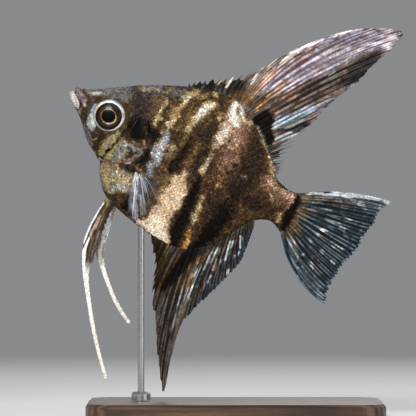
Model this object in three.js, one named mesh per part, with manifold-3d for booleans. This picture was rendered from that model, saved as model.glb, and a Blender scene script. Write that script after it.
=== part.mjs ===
// Freshwater angelfish at life size, swimming nose-up, held over a flat base by one short rod.
//
// Millimetres, +Z up, base underside at Z = 0. The fish is drawn level in its own group: the snout is
// at the origin, X runs towards the tail and Z towards the back, and the fish's left side is -Y. Its
// group then pitches the nose up and lifts it over the base.

import * as THREE from 'three';
import { LoftGeometry } from 'three/addons/geometries/LoftGeometry.js';
import { mergeVertices } from 'three/addons/utils/BufferGeometryUtils.js';
import Module from 'manifold-3d';

const wasm = await Module();
wasm.setup();

// ---------------------------------------------------------------- driving dimensions

const NOSE_UP = THREE.MathUtils.degToRad(26.5);
const GAP = 0.3;              // clearance kept between neighbouring pieces
const SKIN_CLEARANCE = 0.38;  // how far the body is grown before it cuts a fin or the rod

const SNOUT_END = 0.8;        // where the head's first section stands, behind the lips
const TAIL_START = 61.6;      // cut between trunk and peduncle
const TAIL_END = 70.4;        // where the scaled flesh gives way to bare fin rays
const BODY_STATIONS = 42;
const BODY_SIDES = 20;

const BASE = { length: 80, depth: 54, height: 5, corner: 7, bevel: 0.8 };
const FIN_TIP_OVER_BASE = 2.4;
const ROD = { radius: 0.9, bellyAt: 33.2, sides: 20 };
const COLLAR = { radius: 2.6, height: 2.2, bevel: 0.5 };
const STAND_FOOT = BASE.height + GAP;   // where the rod and its collar stand

// Outlines of the level fish: [distance from the snout, height].
const BACK = [
  [0.6, 2.9], [2.5, 3.8], [6.4, 5.7], [10.9, 8.7], [17.9, 12.7], [26.8, 16.7], [35, 19.6], [38.4, 20.1],
  [41.6, 19.8], [46.4, 17.4], [51.3, 14.1], [56.2, 9.9], [59.8, 5.6], [62.6, 4.4], [65.2, 4.1],
  [68, 4.8], [71, 5.6],
];
const BELLY = [
  [0.6, -0.4], [2.2, -1.6], [5.1, -3.8], [8.9, -7.9], [10.9, -9.4], [14.4, -11.5], [16.5, -15.2],
  [19.5, -18.8], [23.8, -20.9], [28.7, -22.2], [34.5, -23.5], [41.9, -24.4], [45.7, -23.7],
  [48.9, -22.1], [53.8, -16.9], [56.3, -12.7], [58.2, -9.4], [60.2, -7.2], [63.7, -5.9], [68, -7.8],
  [71, -8.8],
];
const HALF_WIDTH = [
  [0.6, 1.1], [3, 2.1], [7, 3.1], [12, 3.9], [18, 4.6], [24, 5], [30, 4.9], [38, 4.4], [46, 3.6],
  [54, 2.7], [60, 2.1], [66, 1.6], [71, 0.6],
];
const WIDEST_LEVEL = [[0.6, 1.2], [12, -0.6], [24, -3.5], [40, -2.5], [60, -1], [71, -1.6]];
const RIDGE_SHARPNESS = [[0.6, 1], [8, 1.15], [20, 1.35], [45, 1.35], [60, 1.1], [71, 1]];

// The gill cover's free edge, which parts head from trunk, and the groove in front of it.
const GILL_EDGE = [
  [20.4, 22], [20.9, 12], [21.7, 5], [23.3, 1.4], [24.1, -2.7], [23.2, -6.8], [20.2, -9.9], [15.8, -11.3],
  [12.5, -11.6],
];
const GILL_GROOVE = [[19.6, 4.6], [18.2, 2.2], [18.1, -0.9], [17.3, -4.7], [16, -7.6], [14.2, -10]];
const GILL_COVER_DEPTH = 2.2;  // distance from the median plane to a gill cover's inner face

// Eyeballs: where their axis is, how far they turn forward, and their profile from the front of the
// dome round the rim to the back, [radius, distance from the median plane].
const EYE = { at: 12.45, height: 0.3, forward: THREE.MathUtils.degToRad(9), rim: 4.4, segments: 22 };
const EYE_PROFILE = [
  [0, 4.95], [1.2, 4.9], [2.4, 4.68], [3.4, 4.3], [4.1, 3.85], [4.4, 3.4], [4.1, 2.6], [3.2, 1.8], [1.8, 1.1],
  [0, 0.8],
];
const SOCKET_MOUTH = 8;         // beyond the skin, so that the socket is open

// Lips: centre line from the corner of the mouth to the median plane, [at, side, height, radius].
const UPPER_LIP = [
  [4.75, 2, -0.2, 0.65], [3.3, 1.75, 1.3, 0.85], [2, 1.15, 2.4, 0.86], [1.2, 0, 2.85, 0.84],
];
const LOWER_LIP = [
  [3.15, 1.65, -1.55, 0.5], [1.6, 1.35, -0.25, 0.72], [0.65, 0.8, 0.65, 0.78], [0.25, 0, 1.1, 0.78],
];

const LIP_STEPS = 12;

// Key rays of the fins: [base at, base height, tip at, tip height, bow]. The rays between them are
// interpolated. Bow is how far a ray's middle leaves its chord, to the left of base-to-tip.
const DORSAL_RAYS = [
  [27.3, 16.3, 27.4, 18, 0],
  [31.4, 17.8, 31.2, 20.8, 0],
  [35.8, 19.2, 35.9, 23.9, 0.2],
  [40.4, 19.8, 41.4, 28.7, 0.5],
  [41.9, 19.7, 45.7, 34.8, 0.9],
  [42.5, 19.6, 51.6, 42.2, 1.6],
  [43.6, 19.4, 60.8, 50.8, 2.6],
  [45.2, 18.6, 72.1, 56, 2.4],
  [47, 17.4, 72.3, 51.2, 1.4],
  [48.8, 16.2, 69.8, 44.8, 0.5],
  [50.5, 14.9, 67.7, 37.7, 0.3],
  [51.9, 13.8, 64.5, 31.3, 0],
  [53.2, 12.8, 62.3, 23.9, 0],
  [54.6, 11.5, 60.2, 18.3, 0],
  [56.5, 9.5, 59.8, 12.3, 0],
  [59.4, 5.9, 60.4, 7.6, 0],
];
const ANAL_RAYS = [
  [36.6, -24, 37.6, -25.6, 0],
  [40.4, -24.5, 41, -31.2, 0],
  [43.6, -24.1, 43.5, -38.1, -0.4],
  [45.4, -23.7, 47.6, -43.7, -0.8],
  [46.9, -23.3, 52, -51.3, -1.1],
  [48.9, -22.2, 58.2, -60, -1.4],
  [50.9, -20.6, 55.9, -50.4, -1.1],
  [52.4, -19.1, 54.5, -41.9, -0.8],
  [53.8, -17.4, 56, -35.7, -0.5],
  [55.2, -15.3, 58, -30.2, -0.4],
  [56.4, -13, 59.8, -24.5, -0.3],
  [57.5, -11, 61.2, -19, -0.3],
  [58.7, -9.2, 60.7, -12.9, 0],
  [59.8, -7.7, 60.2, -9, 0],
];
const CAUDAL_RAYS = [
  [67.3, 4.5, 91.2, 13.6, 1.45],
  [68.5, 3.4, 89.5, 10.7, 0.5],
  [68.8, 1.4, 88.8, 5.4, 0],
  [68.9, -1.1, 87.8, -2.1, 0],
  [68.8, -3.6, 86.4, -8.5, -0.3],
  [68.5, -6, 85.9, -13.9, -0.8],
  [67.9, -8.2, 86.7, -19.4, -2.3],
];
const PECTORAL_RAYS = [
  [25, -9.6, 28.4, -21, -0.8],
  [25.6, -9.8, 30.6, -22.2, -0.3],
  [26.3, -9.8, 33, -18.2, 0.2],
  [26.9, -9.7, 34.1, -13.4, 0.3],
  [27.4, -9.6, 32.2, -9.7, 0.3],
];
// A pectoral fin's distance from the median plane: at its first ray, and its growth per mm.
const PECTORAL_FLARE = { start: 4.1, downward: 0.22, backward: 0.12 };

// Pelvic fins: [at, height, width] from the root to the end of the long feeler.
const PELVIC_LEFT = [
  [22.4, -20, 2.7], [22.3, -25.2, 3.6], [22.5, -29.4, 4.2], [23.1, -33.3, 4.2], [24.1, -37.2, 3],
  [25.5, -41, 1.6], [29.2, -46.7, 1.15], [33.7, -52.9, 1.1], [38.6, -58.9, 1], [43, -63.6, 0.9],
];
const PELVIC_RIGHT = [
  [23.4, -20.6, 2.2], [24.1, -25.6, 2.6], [24.8, -30.2, 2.8], [26, -33.8, 2.4], [28.1, -36.7, 1.45],
  [31.2, -39.9, 1.15], [35.1, -43.4, 1.1], [38.7, -45.9, 1.05], [41.9, -47.6, 0.95],
];
const PELVIC_HALF_THICKNESS = 0.42;
const PELVIC_STEPS = 24;
const PELVIC_ROOT_SIDE = 1.3;
const PELVIC_SPREAD = 3.2;      // how much further out the feeler ends than it starts

// Each fin sheet: thickness at root and edge, columns across the fan, rows along a ray, and its sway,
// how far the tips lean to the fish's right.
const DORSAL = { rays: DORSAL_RAYS, root: 1.2, edge: 0.5, columns: 30, rows: 6, sway: 1.4 };
const ANAL = { rays: ANAL_RAYS, root: 1.2, edge: 0.5, columns: 26, rows: 6, sway: -1 };
const CAUDAL = { rays: CAUDAL_RAYS, root: 1, edge: 0.5, columns: 24, rows: 4, sway: 1.8 };
const PECTORAL = { rays: PECTORAL_RAYS, root: 0.7, edge: 0.5, columns: 12, rows: 3, sway: 0 };
const MEMBRANE_SHARE = 0.8;     // thickness between two rays as a share of the thickness on a ray
const LEAST_THICKNESS = 0.5;

// ---------------------------------------------------------------- curves through named sizes

const SIDEWAYS = new THREE.Vector3(0, 1, 0);

// A smooth function through [x, value] points, level beyond its ends.
function through(points) {
  const slopeAt = (i) => {
    const before = points[Math.max(i - 1, 0)];
    const after = points[Math.min(i + 1, points.length - 1)];
    return (after[1] - before[1]) / (after[0] - before[0]);
  };
  return (x) => {
    const last = points.length - 1;
    if (x <= points[0][0]) return points[0][1];
    if (x >= points[last][0]) return points[last][1];
    let i = 0;
    while (x > points[i + 1][0]) i += 1;
    const span = points[i + 1][0] - points[i][0];
    const t = (x - points[i][0]) / span;
    const rise = (1 - t) ** 2 * (1 + 2 * t) * points[i][1] + t ** 2 * (3 - 2 * t) * points[i + 1][1];
    const bend = t * (1 - t) ** 2 * slopeAt(i) - t ** 2 * (1 - t) * slopeAt(i + 1);
    return rise + bend * span;
  };
}

const backHeight = through(BACK);
const bellyHeight = through(BELLY);
const halfWidth = through(HALF_WIDTH);
const widestLevel = through(WIDEST_LEVEL);
const sharpness = through(RIDGE_SHARPNESS);

function smoothCurve(points) {
  return new THREE.CatmullRomCurve3(points, false, 'catmullrom', 0.5);
}

// ---------------------------------------------------------------- solids

function signedVolume(geometry) {
  const index = geometry.index.array;
  const corners = [new THREE.Vector3(), new THREE.Vector3(), new THREE.Vector3()];
  let volume = 0;
  for (let i = 0; i < index.length; i += 3) {
    corners.forEach((corner, k) => corner.fromBufferAttribute(geometry.attributes.position, index[i + k]));
    volume += corners[0].dot(corners[1].cross(corners[2])) / 6;
  }
  return volume;
}

// A closed body skinned over rings of points, with its faces pointing out.
function loft(rings) {
  const caps = { capStart: true, capEnd: true };
  const geometry = new LoftGeometry(rings, caps);
  if (signedVolume(geometry) > 0) return geometry;
  return new LoftGeometry(rings.map((ring) => [...ring].reverse()), caps);
}

function toSolid(geometry) {
  const bare = new THREE.BufferGeometry();
  bare.setAttribute('position', geometry.attributes.position);
  bare.setIndex(geometry.index);
  const merged = mergeVertices(bare);
  return new wasm.Manifold(new wasm.Mesh({
    numProp: 3,
    vertProperties: new Float32Array(merged.attributes.position.array),
    triVerts: new Uint32Array(merged.index.array),
  }));
}

function toGeometry(solid) {
  const mesh = solid.getMesh();
  const geometry = new THREE.BufferGeometry();
  geometry.setAttribute('position', new THREE.BufferAttribute(new Float32Array(mesh.vertProperties), 3));
  geometry.setIndex(new THREE.BufferAttribute(new Uint32Array(mesh.triVerts), 1));
  geometry.computeVertexNormals();
  return geometry;
}

// An upright outline in the fish's median plane, as a prism from one side distance to another.
function prism(outline, from, to) {
  const shape = new THREE.Shape(outline.map(([at, height]) => new THREE.Vector2(at, height)));
  const geometry = new THREE.ExtrudeGeometry(shape, { depth: to - from, bevelEnabled: false });
  geometry.rotateX(Math.PI / 2);
  geometry.translate(0, to, 0);
  return toSolid(geometry);
}

// Directions across a curve that runs roughly in an upright plane: out of that plane, and within it.
function flatFrames(curve, steps) {
  const frames = { normals: [], binormals: [] };
  for (let i = 0; i <= steps; i += 1) {
    const within = new THREE.Vector3().crossVectors(curve.getTangentAt(i / steps), SIDEWAYS).normalize();
    frames.binormals.push(within);
    frames.normals.push(new THREE.Vector3().crossVectors(within, curve.getTangentAt(i / steps)));
  }
  return frames;
}

// A rod of changing size along a curve: halfSize gives its half measures along the frames' normals
// and binormals at each share of the way.
function sweep(curve, frames, steps, sides, halfSize) {
  const rings = [];
  for (let i = 0; i <= steps; i += 1) {
    const centre = curve.getPointAt(i / steps);
    const [thick, wide] = halfSize(i / steps);
    const ring = [];
    for (let j = 0; j < sides; j += 1) {
      const angle = (2 * Math.PI * j) / sides;
      ring.push(centre.clone()
        .addScaledVector(frames.normals[i], Math.cos(angle) * thick)
        .addScaledVector(frames.binormals[i], Math.sin(angle) * wide));
    }
    rings.push(ring);
  }
  return loft(rings);
}

// ---------------------------------------------------------------- body

// The whole body from snout to tail root, grown all over by a margin.
function bodyGeometry(margin) {
  const rings = [];
  for (let i = 0; i <= BODY_STATIONS; i += 1) {
    const share = i / BODY_STATIONS;
    const at = THREE.MathUtils.lerp(SNOUT_END, TAIL_END, share ** 1.12);
    const level = widestLevel(at);
    const ring = [];
    for (let j = 0; j < BODY_SIDES; j += 1) {
      const angle = (2 * Math.PI * j) / BODY_SIDES;
      const rise = Math.sin(angle);
      const reach = rise > 0 ? backHeight(at) + margin - level : level - bellyHeight(at) + margin;
      const spread = Math.abs(Math.cos(angle)) ** sharpness(at) * Math.sign(Math.cos(angle));
      const along = at + margin * (2 * share - 1);
      ring.push(new THREE.Vector3(along, (halfWidth(at) + margin) * spread, level + reach * rise));
    }
    rings.push(ring);
  }
  return loft(rings);
}

const FAR = 40;                 // beyond the body on every side
const body = toSolid(bodyGeometry(0));
const grownBody = toSolid(bodyGeometry(SKIN_CLEARANCE));

function outlineOf(points, steps) {
  const curve = smoothCurve(points.map(([at, height]) => new THREE.Vector3(at, 0, height)));
  return curve.getPoints(steps).map((point) => [point.x, point.z]);
}

// Everything ahead of the gill cover's edge, moved back and down by a shift.
function headRegion(shift) {
  const edge = outlineOf(GILL_EDGE, 20).map(([at, height]) => [at + shift, height - shift]);
  return prism([[-FAR, -FAR], [-FAR, FAR], ...edge, [edge.at(-1)[0], -FAR]], -FAR, FAR);
}

// Everything behind the groove and beside the gill cavity, on one side, grown by a margin.
function gillCoverRegion(side, margin) {
  const groove = outlineOf(GILL_GROOVE, 10).map(([at, height]) => [at - margin, height]);
  const top = groove[0][1] + margin;
  const foot = groove.at(-1);
  const outline = [[groove[0][0], top], ...groove.slice(1), [foot[0], -FAR], [FAR, -FAR], [FAR, top]];
  const inner = GILL_COVER_DEPTH - margin;
  return side < 0 ? prism(outline, -FAR, -inner) : prism(outline, inner, FAR);
}

function lip(points) {
  const oneSide = points.map(([at, side, height]) => new THREE.Vector3(at, -side, height));
  const otherSide = oneSide.slice(0, -1).reverse().map((point) => point.clone().setY(-point.y));
  const radius = through(points.map((point, i) => [(0.5 * i) / (points.length - 1), point[3]]));
  const curve = smoothCurve([...oneSide, ...otherSide]);
  const frames = curve.computeFrenetFrames(LIP_STEPS, false);
  return (margin) => sweep(curve, frames, LIP_STEPS, 8, (share) => {
    const r = radius(share < 0.5 ? share : 1 - share) + margin;
    return [r, r];
  });
}

const upperLip = lip(UPPER_LIP);
const lowerLip = lip(LOWER_LIP);

// A round body about an eye's axis, from a profile of [radius, distance from the median plane].
function aboutEyeAxis(profile, side) {
  const points = profile.map(([radius, distance]) => new THREE.Vector2(radius, distance)).reverse();
  const geometry = new THREE.LatheGeometry(points, EYE.segments);
  if (side < 0) geometry.rotateZ(Math.PI);
  geometry.rotateZ(side * EYE.forward);
  geometry.translate(EYE.at, 0, EYE.height);
  return geometry;
}

// The socket follows the back of the eyeball at a gap, and opens straight out from its rim.
function eyeSocket(side) {
  const rim = EYE_PROFILE.findIndex(([radius]) => radius === EYE.rim);
  const back = EYE_PROFILE.slice(rim).map(([radius, distance]) => [radius && radius + GAP, distance - GAP]);
  const mouth = [[0, SOCKET_MOUTH], [EYE.rim + GAP, SOCKET_MOUTH]];
  return toSolid(aboutEyeAxis([...mouth, ...back], side));
}

// ---------------------------------------------------------------- fins

// A ray's point at each share of the fan and of the ray's own length.
function fanPoint(rays) {
  const bases = smoothCurve(rays.map(([x, z]) => new THREE.Vector3(x, 0, z)));
  const tips = smoothCurve(rays.map((ray) => new THREE.Vector3(ray[2], 0, ray[3])));
  const bows = through(rays.map((ray, i) => [i / (rays.length - 1), ray[4]]));
  return (fan, along) => {
    const base = bases.getPoint(fan);
    const tip = tips.getPoint(fan);
    const chord = tip.clone().sub(base);
    const aside = new THREE.Vector3(-chord.z, 0, chord.x).normalize();
    return base.addScaledVector(chord, along).addScaledVector(aside, 4 * bows(fan) * along * (1 - along));
  };
}

// A ribbed sheet through a fan of rays; out gives its distance from the median plane.
function finGeometry(fin, out) {
  const pointAt = fanPoint(fin.rays);
  const rings = [];
  for (let i = 0; i <= fin.columns; i += 1) {
    const near = [];
    const far = [];
    for (let j = 0; j <= fin.rows; j += 1) {
      const along = j / fin.rows;
      const onRay = THREE.MathUtils.lerp(fin.root, fin.edge / MEMBRANE_SHARE, Math.sqrt(along));
      const thickness = Math.max(LEAST_THICKNESS, onRay * (i % 2 ? MEMBRANE_SHARE : 1));
      const point = pointAt(i / fin.columns, along);
      const centre = out(point, along);
      near.push(new THREE.Vector3(point.x, centre - thickness / 2, point.z));
      far.unshift(new THREE.Vector3(point.x, centre + thickness / 2, point.z));
    }
    rings.push([...near, ...far]);
  }
  return loft(rings);
}

function medianFin(fin) {
  const sheet = toSolid(finGeometry(fin, (point, along) => fin.sway * along ** 2));
  return toGeometry(sheet.subtract(grownBody));
}

function pectoralFin(side) {
  const [frontAt, frontHeight] = PECTORAL_RAYS[0];
  const { start, downward, backward } = PECTORAL_FLARE;
  const out = (point) => {
    const drop = Math.max(0, frontHeight - point.z);
    return side * (start + downward * drop + backward * (point.x - frontAt));
  };
  return toGeometry(toSolid(finGeometry(PECTORAL, out)).subtract(grownBody));
}

function pelvicFin(points, side) {
  const last = points.length - 1;
  const centres = points.map(([at, height], i) => {
    const share = i / last;
    return new THREE.Vector3(at, side * (PELVIC_ROOT_SIDE + PELVIC_SPREAD * share ** 1.3), height);
  });
  const curve = smoothCurve(centres);
  const parts = 40 * last;
  const lengths = curve.getLengths(parts);
  const width = through(points.map((point, i) => [lengths[40 * i] / lengths[parts], point[2]]));
  const blade = sweep(curve, flatFrames(curve, PELVIC_STEPS), PELVIC_STEPS, 8, (share) => {
    const wide = width(share) / 2;
    return [Math.min(PELVIC_HALF_THICKNESS, 0.7 * wide + 0.1), wide];
  });
  return toGeometry(toSolid(blade).subtract(grownBody));
}

// ---------------------------------------------------------------- materials

function material(color, roughness, metalness = 0) {
  return new THREE.MeshStandardMaterial({ color, roughness, metalness, flatShading: true });
}

const finish = {
  head: () => material(0x6f6a62, 0.35, 0.2),
  trunk: () => material(0x86725a, 0.35, 0.2),
  tail: () => material(0x75685c, 0.35, 0.2),
  gill: () => material(0x8f949c, 0.3, 0.3),
  lip: () => material(0xb7a8a4, 0.4),
  eye: () => material(0x241a14, 0.08),
  fin: () => material(0x9a938f, 0.5),
  feeler: () => material(0xd9cfbd, 0.5),
  base: () => material(0x4a3524, 0.45),
  rod: () => material(0xb9bbbd, 0.3, 0.9),
};

function named(name, geometry, look) {
  const mesh = new THREE.Mesh(geometry, look);
  mesh.name = name;
  return mesh;
}

// ---------------------------------------------------------------- fish

function headPieces() {
  let head = body.intersect(headRegion(0));
  const pieces = [];
  for (const [side, word] of [[-1, 'left'], [1, 'right']]) {
    const cover = head.intersect(gillCoverRegion(side, 0));
    pieces.push(named(`gill_cover_${word}`, toGeometry(cover), finish.gill()));
    pieces.push(named(`eye_${word}`, aboutEyeAxis(EYE_PROFILE, side), finish.eye()));
    head = head.subtract(gillCoverRegion(side, GAP)).subtract(eyeSocket(side));
  }
  head = head.subtract(toSolid(upperLip(GAP))).subtract(toSolid(lowerLip(GAP)));
  pieces.push(named('head', toGeometry(head), finish.head()));
  pieces.push(named('lip_upper', upperLip(0), finish.lip()));
  pieces.push(named('lip_lower', lowerLip(0), finish.lip()));
  return pieces;
}

function trunkPieces() {
  const behindHead = body.subtract(headRegion(GAP));
  const slab = (from, to) => prism([[from, -FAR], [to, -FAR], [to, FAR], [from, FAR]], -FAR, FAR);
  const trunk = behindHead.intersect(slab(0, TAIL_START));
  const tail = body.intersect(slab(TAIL_START + GAP, TAIL_END + FAR));
  return [
    named('trunk', toGeometry(trunk), finish.trunk()),
    named('tail', toGeometry(tail), finish.tail()),
  ];
}

function finPieces() {
  return [
    named('fin_dorsal', medianFin(DORSAL), finish.fin()),
    named('fin_anal', medianFin(ANAL), finish.fin()),
    named('fin_caudal', medianFin(CAUDAL), finish.fin()),
    named('fin_pelvic_left', pelvicFin(PELVIC_LEFT, -1), finish.feeler()),
    named('fin_pelvic_right', pelvicFin(PELVIC_RIGHT, 1), finish.feeler()),
    named('fin_pectoral_left', pectoralFin(-1), finish.fin()),
    named('fin_pectoral_right', pectoralFin(1), finish.fin()),
  ];
}

const fish = new THREE.Group();
fish.add(...headPieces(), ...trunkPieces(), ...finPieces());
fish.rotation.y = NOSE_UP;
fish.updateMatrixWorld(true);

// Centred over the origin, with the lowest fin tip just clear of the base.
const reach = new THREE.Box3().setFromObject(fish, true);
fish.position.x = -(reach.min.x + reach.max.x) / 2;
fish.position.z = BASE.height + FIN_TIP_OVER_BASE - reach.min.z;
fish.updateMatrixWorld(true);

// ---------------------------------------------------------------- stand

function basePlate() {
  const { length, depth, height, corner, bevel } = BASE;
  const x = length / 2 - bevel;
  const y = depth / 2 - bevel;
  const shape = new THREE.Shape();
  shape.moveTo(-x + corner, -y);
  shape.lineTo(x - corner, -y);
  shape.absarc(x - corner, -y + corner, corner, -Math.PI / 2, 0);
  shape.absarc(x - corner, y - corner, corner, 0, Math.PI / 2);
  shape.absarc(-x + corner, y - corner, corner, Math.PI / 2, Math.PI);
  shape.absarc(-x + corner, -y + corner, corner, Math.PI, 1.5 * Math.PI);
  const geometry = new THREE.ExtrudeGeometry(shape, {
    depth: height - 2 * bevel,
    bevelThickness: bevel,
    bevelSize: bevel,
    bevelSegments: 1,
    curveSegments: 5,
  });
  geometry.translate(0, 0, bevel);
  return geometry;
}

// An upright rod from the base into the belly, cut off just below the skin.
function rodGeometry(belly) {
  const height = belly.z + 3 * ROD.radius - STAND_FOOT;
  const shaft = new THREE.CylinderGeometry(ROD.radius, ROD.radius, height, ROD.sides);
  shaft.rotateX(Math.PI / 2);
  shaft.translate(belly.x, 0, STAND_FOOT + height / 2);
  const posedBody = toSolid(bodyGeometry(SKIN_CLEARANCE).applyMatrix4(fish.matrixWorld));
  return toGeometry(toSolid(shaft).subtract(posedBody));
}

function collarGeometry(belly) {
  const inner = ROD.radius + GAP;
  const { radius, height, bevel } = COLLAR;
  const profile = [
    [inner, 0], [radius, 0], [radius, height - bevel], [radius - bevel, height], [inner, height], [inner, 0],
  ];
  const collar = new THREE.LatheGeometry(profile.map(([r, z]) => new THREE.Vector2(r, z)), ROD.sides);
  collar.rotateX(Math.PI / 2);
  collar.translate(belly.x, 0, STAND_FOOT);
  return collar;
}

function standPieces() {
  const belly = new THREE.Vector3(ROD.bellyAt, 0, bellyHeight(ROD.bellyAt)).applyMatrix4(fish.matrixWorld);
  return [
    named('stand_base', basePlate(), finish.base()),
    named('stand_rod', rodGeometry(belly), finish.rod()),
    named('stand_collar', collarGeometry(belly), finish.rod()),
  ];
}

const angelfish = new THREE.Group();
angelfish.add(fish, ...standPieces());

export default angelfish;
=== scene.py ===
"""A freshwater angelfish, life size, as a still museum model on a small stand.

Measures are millimetres on the level fish: "at" runs from the snout to the tail, "side" to the
fish's right and "height" upwards. place() tips the fish nose up onto its stand, in metres.
"""
import itertools
import math

import bpy
import numpy as np
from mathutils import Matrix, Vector


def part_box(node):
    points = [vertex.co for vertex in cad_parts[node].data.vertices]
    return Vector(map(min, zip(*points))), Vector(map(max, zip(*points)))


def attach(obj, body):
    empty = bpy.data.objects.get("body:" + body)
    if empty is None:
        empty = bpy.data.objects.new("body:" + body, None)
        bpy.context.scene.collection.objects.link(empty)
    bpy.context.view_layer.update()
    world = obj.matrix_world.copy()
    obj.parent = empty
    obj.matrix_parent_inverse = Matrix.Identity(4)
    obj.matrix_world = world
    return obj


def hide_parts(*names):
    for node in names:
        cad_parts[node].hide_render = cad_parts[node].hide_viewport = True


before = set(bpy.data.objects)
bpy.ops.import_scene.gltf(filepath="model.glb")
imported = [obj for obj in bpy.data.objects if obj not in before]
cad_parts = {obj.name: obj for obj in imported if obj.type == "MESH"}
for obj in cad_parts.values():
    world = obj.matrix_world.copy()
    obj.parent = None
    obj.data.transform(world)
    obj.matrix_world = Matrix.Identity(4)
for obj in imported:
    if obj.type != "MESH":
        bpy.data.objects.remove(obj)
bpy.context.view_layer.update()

# ---------------------------------------------------------------- measures of the fish

MM = 0.001
NOSE_UP = math.radians(26.5)
SNOUT_END = 0.8
TAIL_END = 70.4
COAT_DEPTH = 0.15

# Darkest and brightest linear colour of any marking.
DARKEST, BRIGHTEST = 0.002, 0.95

# Outlines: (at, height).
BACK = [
    (0.6, 2.9), (2.5, 3.8), (6.4, 5.7), (10.9, 8.7), (17.9, 12.7), (26.8, 16.7), (35, 19.6), (38.4, 20.1),
    (41.6, 19.8), (46.4, 17.4), (51.3, 14.1), (56.2, 9.9), (59.8, 5.6), (62.6, 4.4), (65.2, 4.1),
    (68, 4.8), (71, 5.6),
]
BELLY = [
    (0.6, -0.4), (2.2, -1.6), (5.1, -3.8), (8.9, -7.9), (10.9, -9.4), (14.4, -11.5), (16.5, -15.2),
    (19.5, -18.8), (23.8, -20.9), (28.7, -22.2), (34.5, -23.5), (41.9, -24.4), (45.7, -23.7),
    (48.9, -22.1), (53.8, -16.9), (56.3, -12.7), (58.2, -9.4), (60.2, -7.2), (63.7, -5.9), (68, -7.8),
    (71, -8.8),
]
HALF_WIDTH = [
    (0.6, 1.1), (3, 2.1), (7, 3.1), (12, 3.9), (18, 4.6), (24, 5), (30, 4.9), (38, 4.4), (46, 3.6),
    (54, 2.7), (60, 2.1), (66, 1.6), (68, 1.1), (69.2, 0.64), (70.4, 0.44), (71, 0.4),
]
WIDEST_LEVEL = [(0.6, 1.2), (12, -0.6), (24, -3.5), (40, -2.5), (60, -1), (71, -1.6)]
RIDGE_SHARPNESS = [(0.6, 1), (8, 1.15), (20, 1.35), (45, 1.35), (60, 1.1), (71, 1)]

GILL_EDGE = [
    (20.4, 22), (20.9, 12), (21.7, 5), (23.3, 1.4), (24.1, -2.7), (23.2, -6.8), (20.2, -9.9), (15.8, -11.3),
    (12.5, -11.6),
]
GILL_GROOVE = [(19.6, 4.6), (18.2, 2.2), (18.1, -0.9), (17.3, -4.7), (16, -7.6), (14.2, -10)]

EYE_AT, EYE_HEIGHT, EYE_FORWARD = 12.45, 0.3, math.radians(9)
EYE_RIM, EYE_RIM_DEPTH = 4.4, 3.4
EYE_METAL, EYE_DARKEST = 0.3, 0.001
# From the front of the dome to the back: (radius, distance from the median plane).
EYE_PROFILE = [
    (0, 4.95), (1.2, 4.9), (2.4, 4.68), (3.4, 4.3), (4.1, 3.85), (4.4, 3.4), (4.1, 2.6), (3.2, 1.8),
    (1.8, 1.1), (0, 0.8),
]

# From the corner of the mouth to the median plane: (at, side, height, radius).
UPPER_LIP = [(4.75, 2, -0.2, 0.65), (3.3, 1.75, 1.3, 0.85), (2, 1.15, 2.4, 0.86), (1.2, 0, 2.85, 0.84)]
LOWER_LIP = [
    (3.15, 1.65, -1.55, 0.5), (1.6, 1.35, -0.25, 0.72), (0.65, 0.8, 0.65, 0.78), (0.25, 0, 1.1, 0.78),
]

# Key rays: (base at, base height, tip at, tip height, bow to the left of base-to-tip).
DORSAL_RAYS = [
    (27.3, 16.3, 27.4, 18, 0), (31.4, 17.8, 31.2, 20.8, 0), (35.8, 19.2, 35.9, 23.9, 0.2),
    (40.4, 19.8, 41.4, 28.7, 0.5), (41.9, 19.7, 45.7, 34.8, 0.9), (42.5, 19.6, 51.6, 42.2, 1.6),
    (43.6, 19.4, 60.8, 50.8, 2.6), (45.2, 18.6, 72.1, 56, 2.4), (47, 17.4, 72.3, 51.2, 1.4),
    (48.8, 16.2, 69.8, 44.8, 0.5), (50.5, 14.9, 67.7, 37.7, 0.3), (51.9, 13.8, 64.5, 31.3, 0),
    (53.2, 12.8, 62.3, 23.9, 0), (54.6, 11.5, 60.2, 18.3, 0), (56.5, 9.5, 59.8, 12.3, 0),
    (59.4, 5.9, 60.4, 7.6, 0),
]
ANAL_RAYS = [
    (36.6, -24, 37.6, -25.6, 0), (40.4, -24.5, 41, -31.2, 0), (43.6, -24.1, 43.5, -38.1, -0.4),
    (45.4, -23.7, 47.6, -43.7, -0.8), (46.9, -23.3, 52, -51.3, -1.1), (48.9, -22.2, 58.2, -60, -1.4),
    (50.9, -20.6, 55.9, -50.4, -1.1), (52.4, -19.1, 54.5, -41.9, -0.8), (53.8, -17.4, 56, -35.7, -0.5),
    (55.2, -15.3, 58, -30.2, -0.4), (56.4, -13, 59.8, -24.5, -0.3), (57.5, -11, 61.2, -19, -0.3),
    (58.7, -9.2, 60.7, -12.9, 0), (59.8, -7.7, 60.2, -9, 0),
]
CAUDAL_RAYS = [
    (67.3, 4.5, 91.2, 13.6, 1.45), (68.5, 3.4, 89.5, 10.7, 0.5), (68.8, 1.4, 88.8, 5.4, 0),
    (68.9, -1.1, 87.8, -2.1, 0), (68.8, -3.6, 86.4, -8.5, -0.3), (68.5, -6, 85.9, -13.9, -0.8),
    (67.9, -8.2, 86.7, -19.4, -2.3),
]
PECTORAL_RAYS = [
    (25, -9.6, 28.4, -21, -0.8), (25.6, -9.8, 30.6, -22.2, -0.3), (26.3, -9.8, 33, -18.2, 0.2),
    (26.9, -9.7, 34.1, -13.4, 0.3), (27.4, -9.6, 32.2, -9.7, 0.3),
]
PECTORAL_START, PECTORAL_DOWNWARD, PECTORAL_BACKWARD = 4.1, 0.22, 0.12

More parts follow.
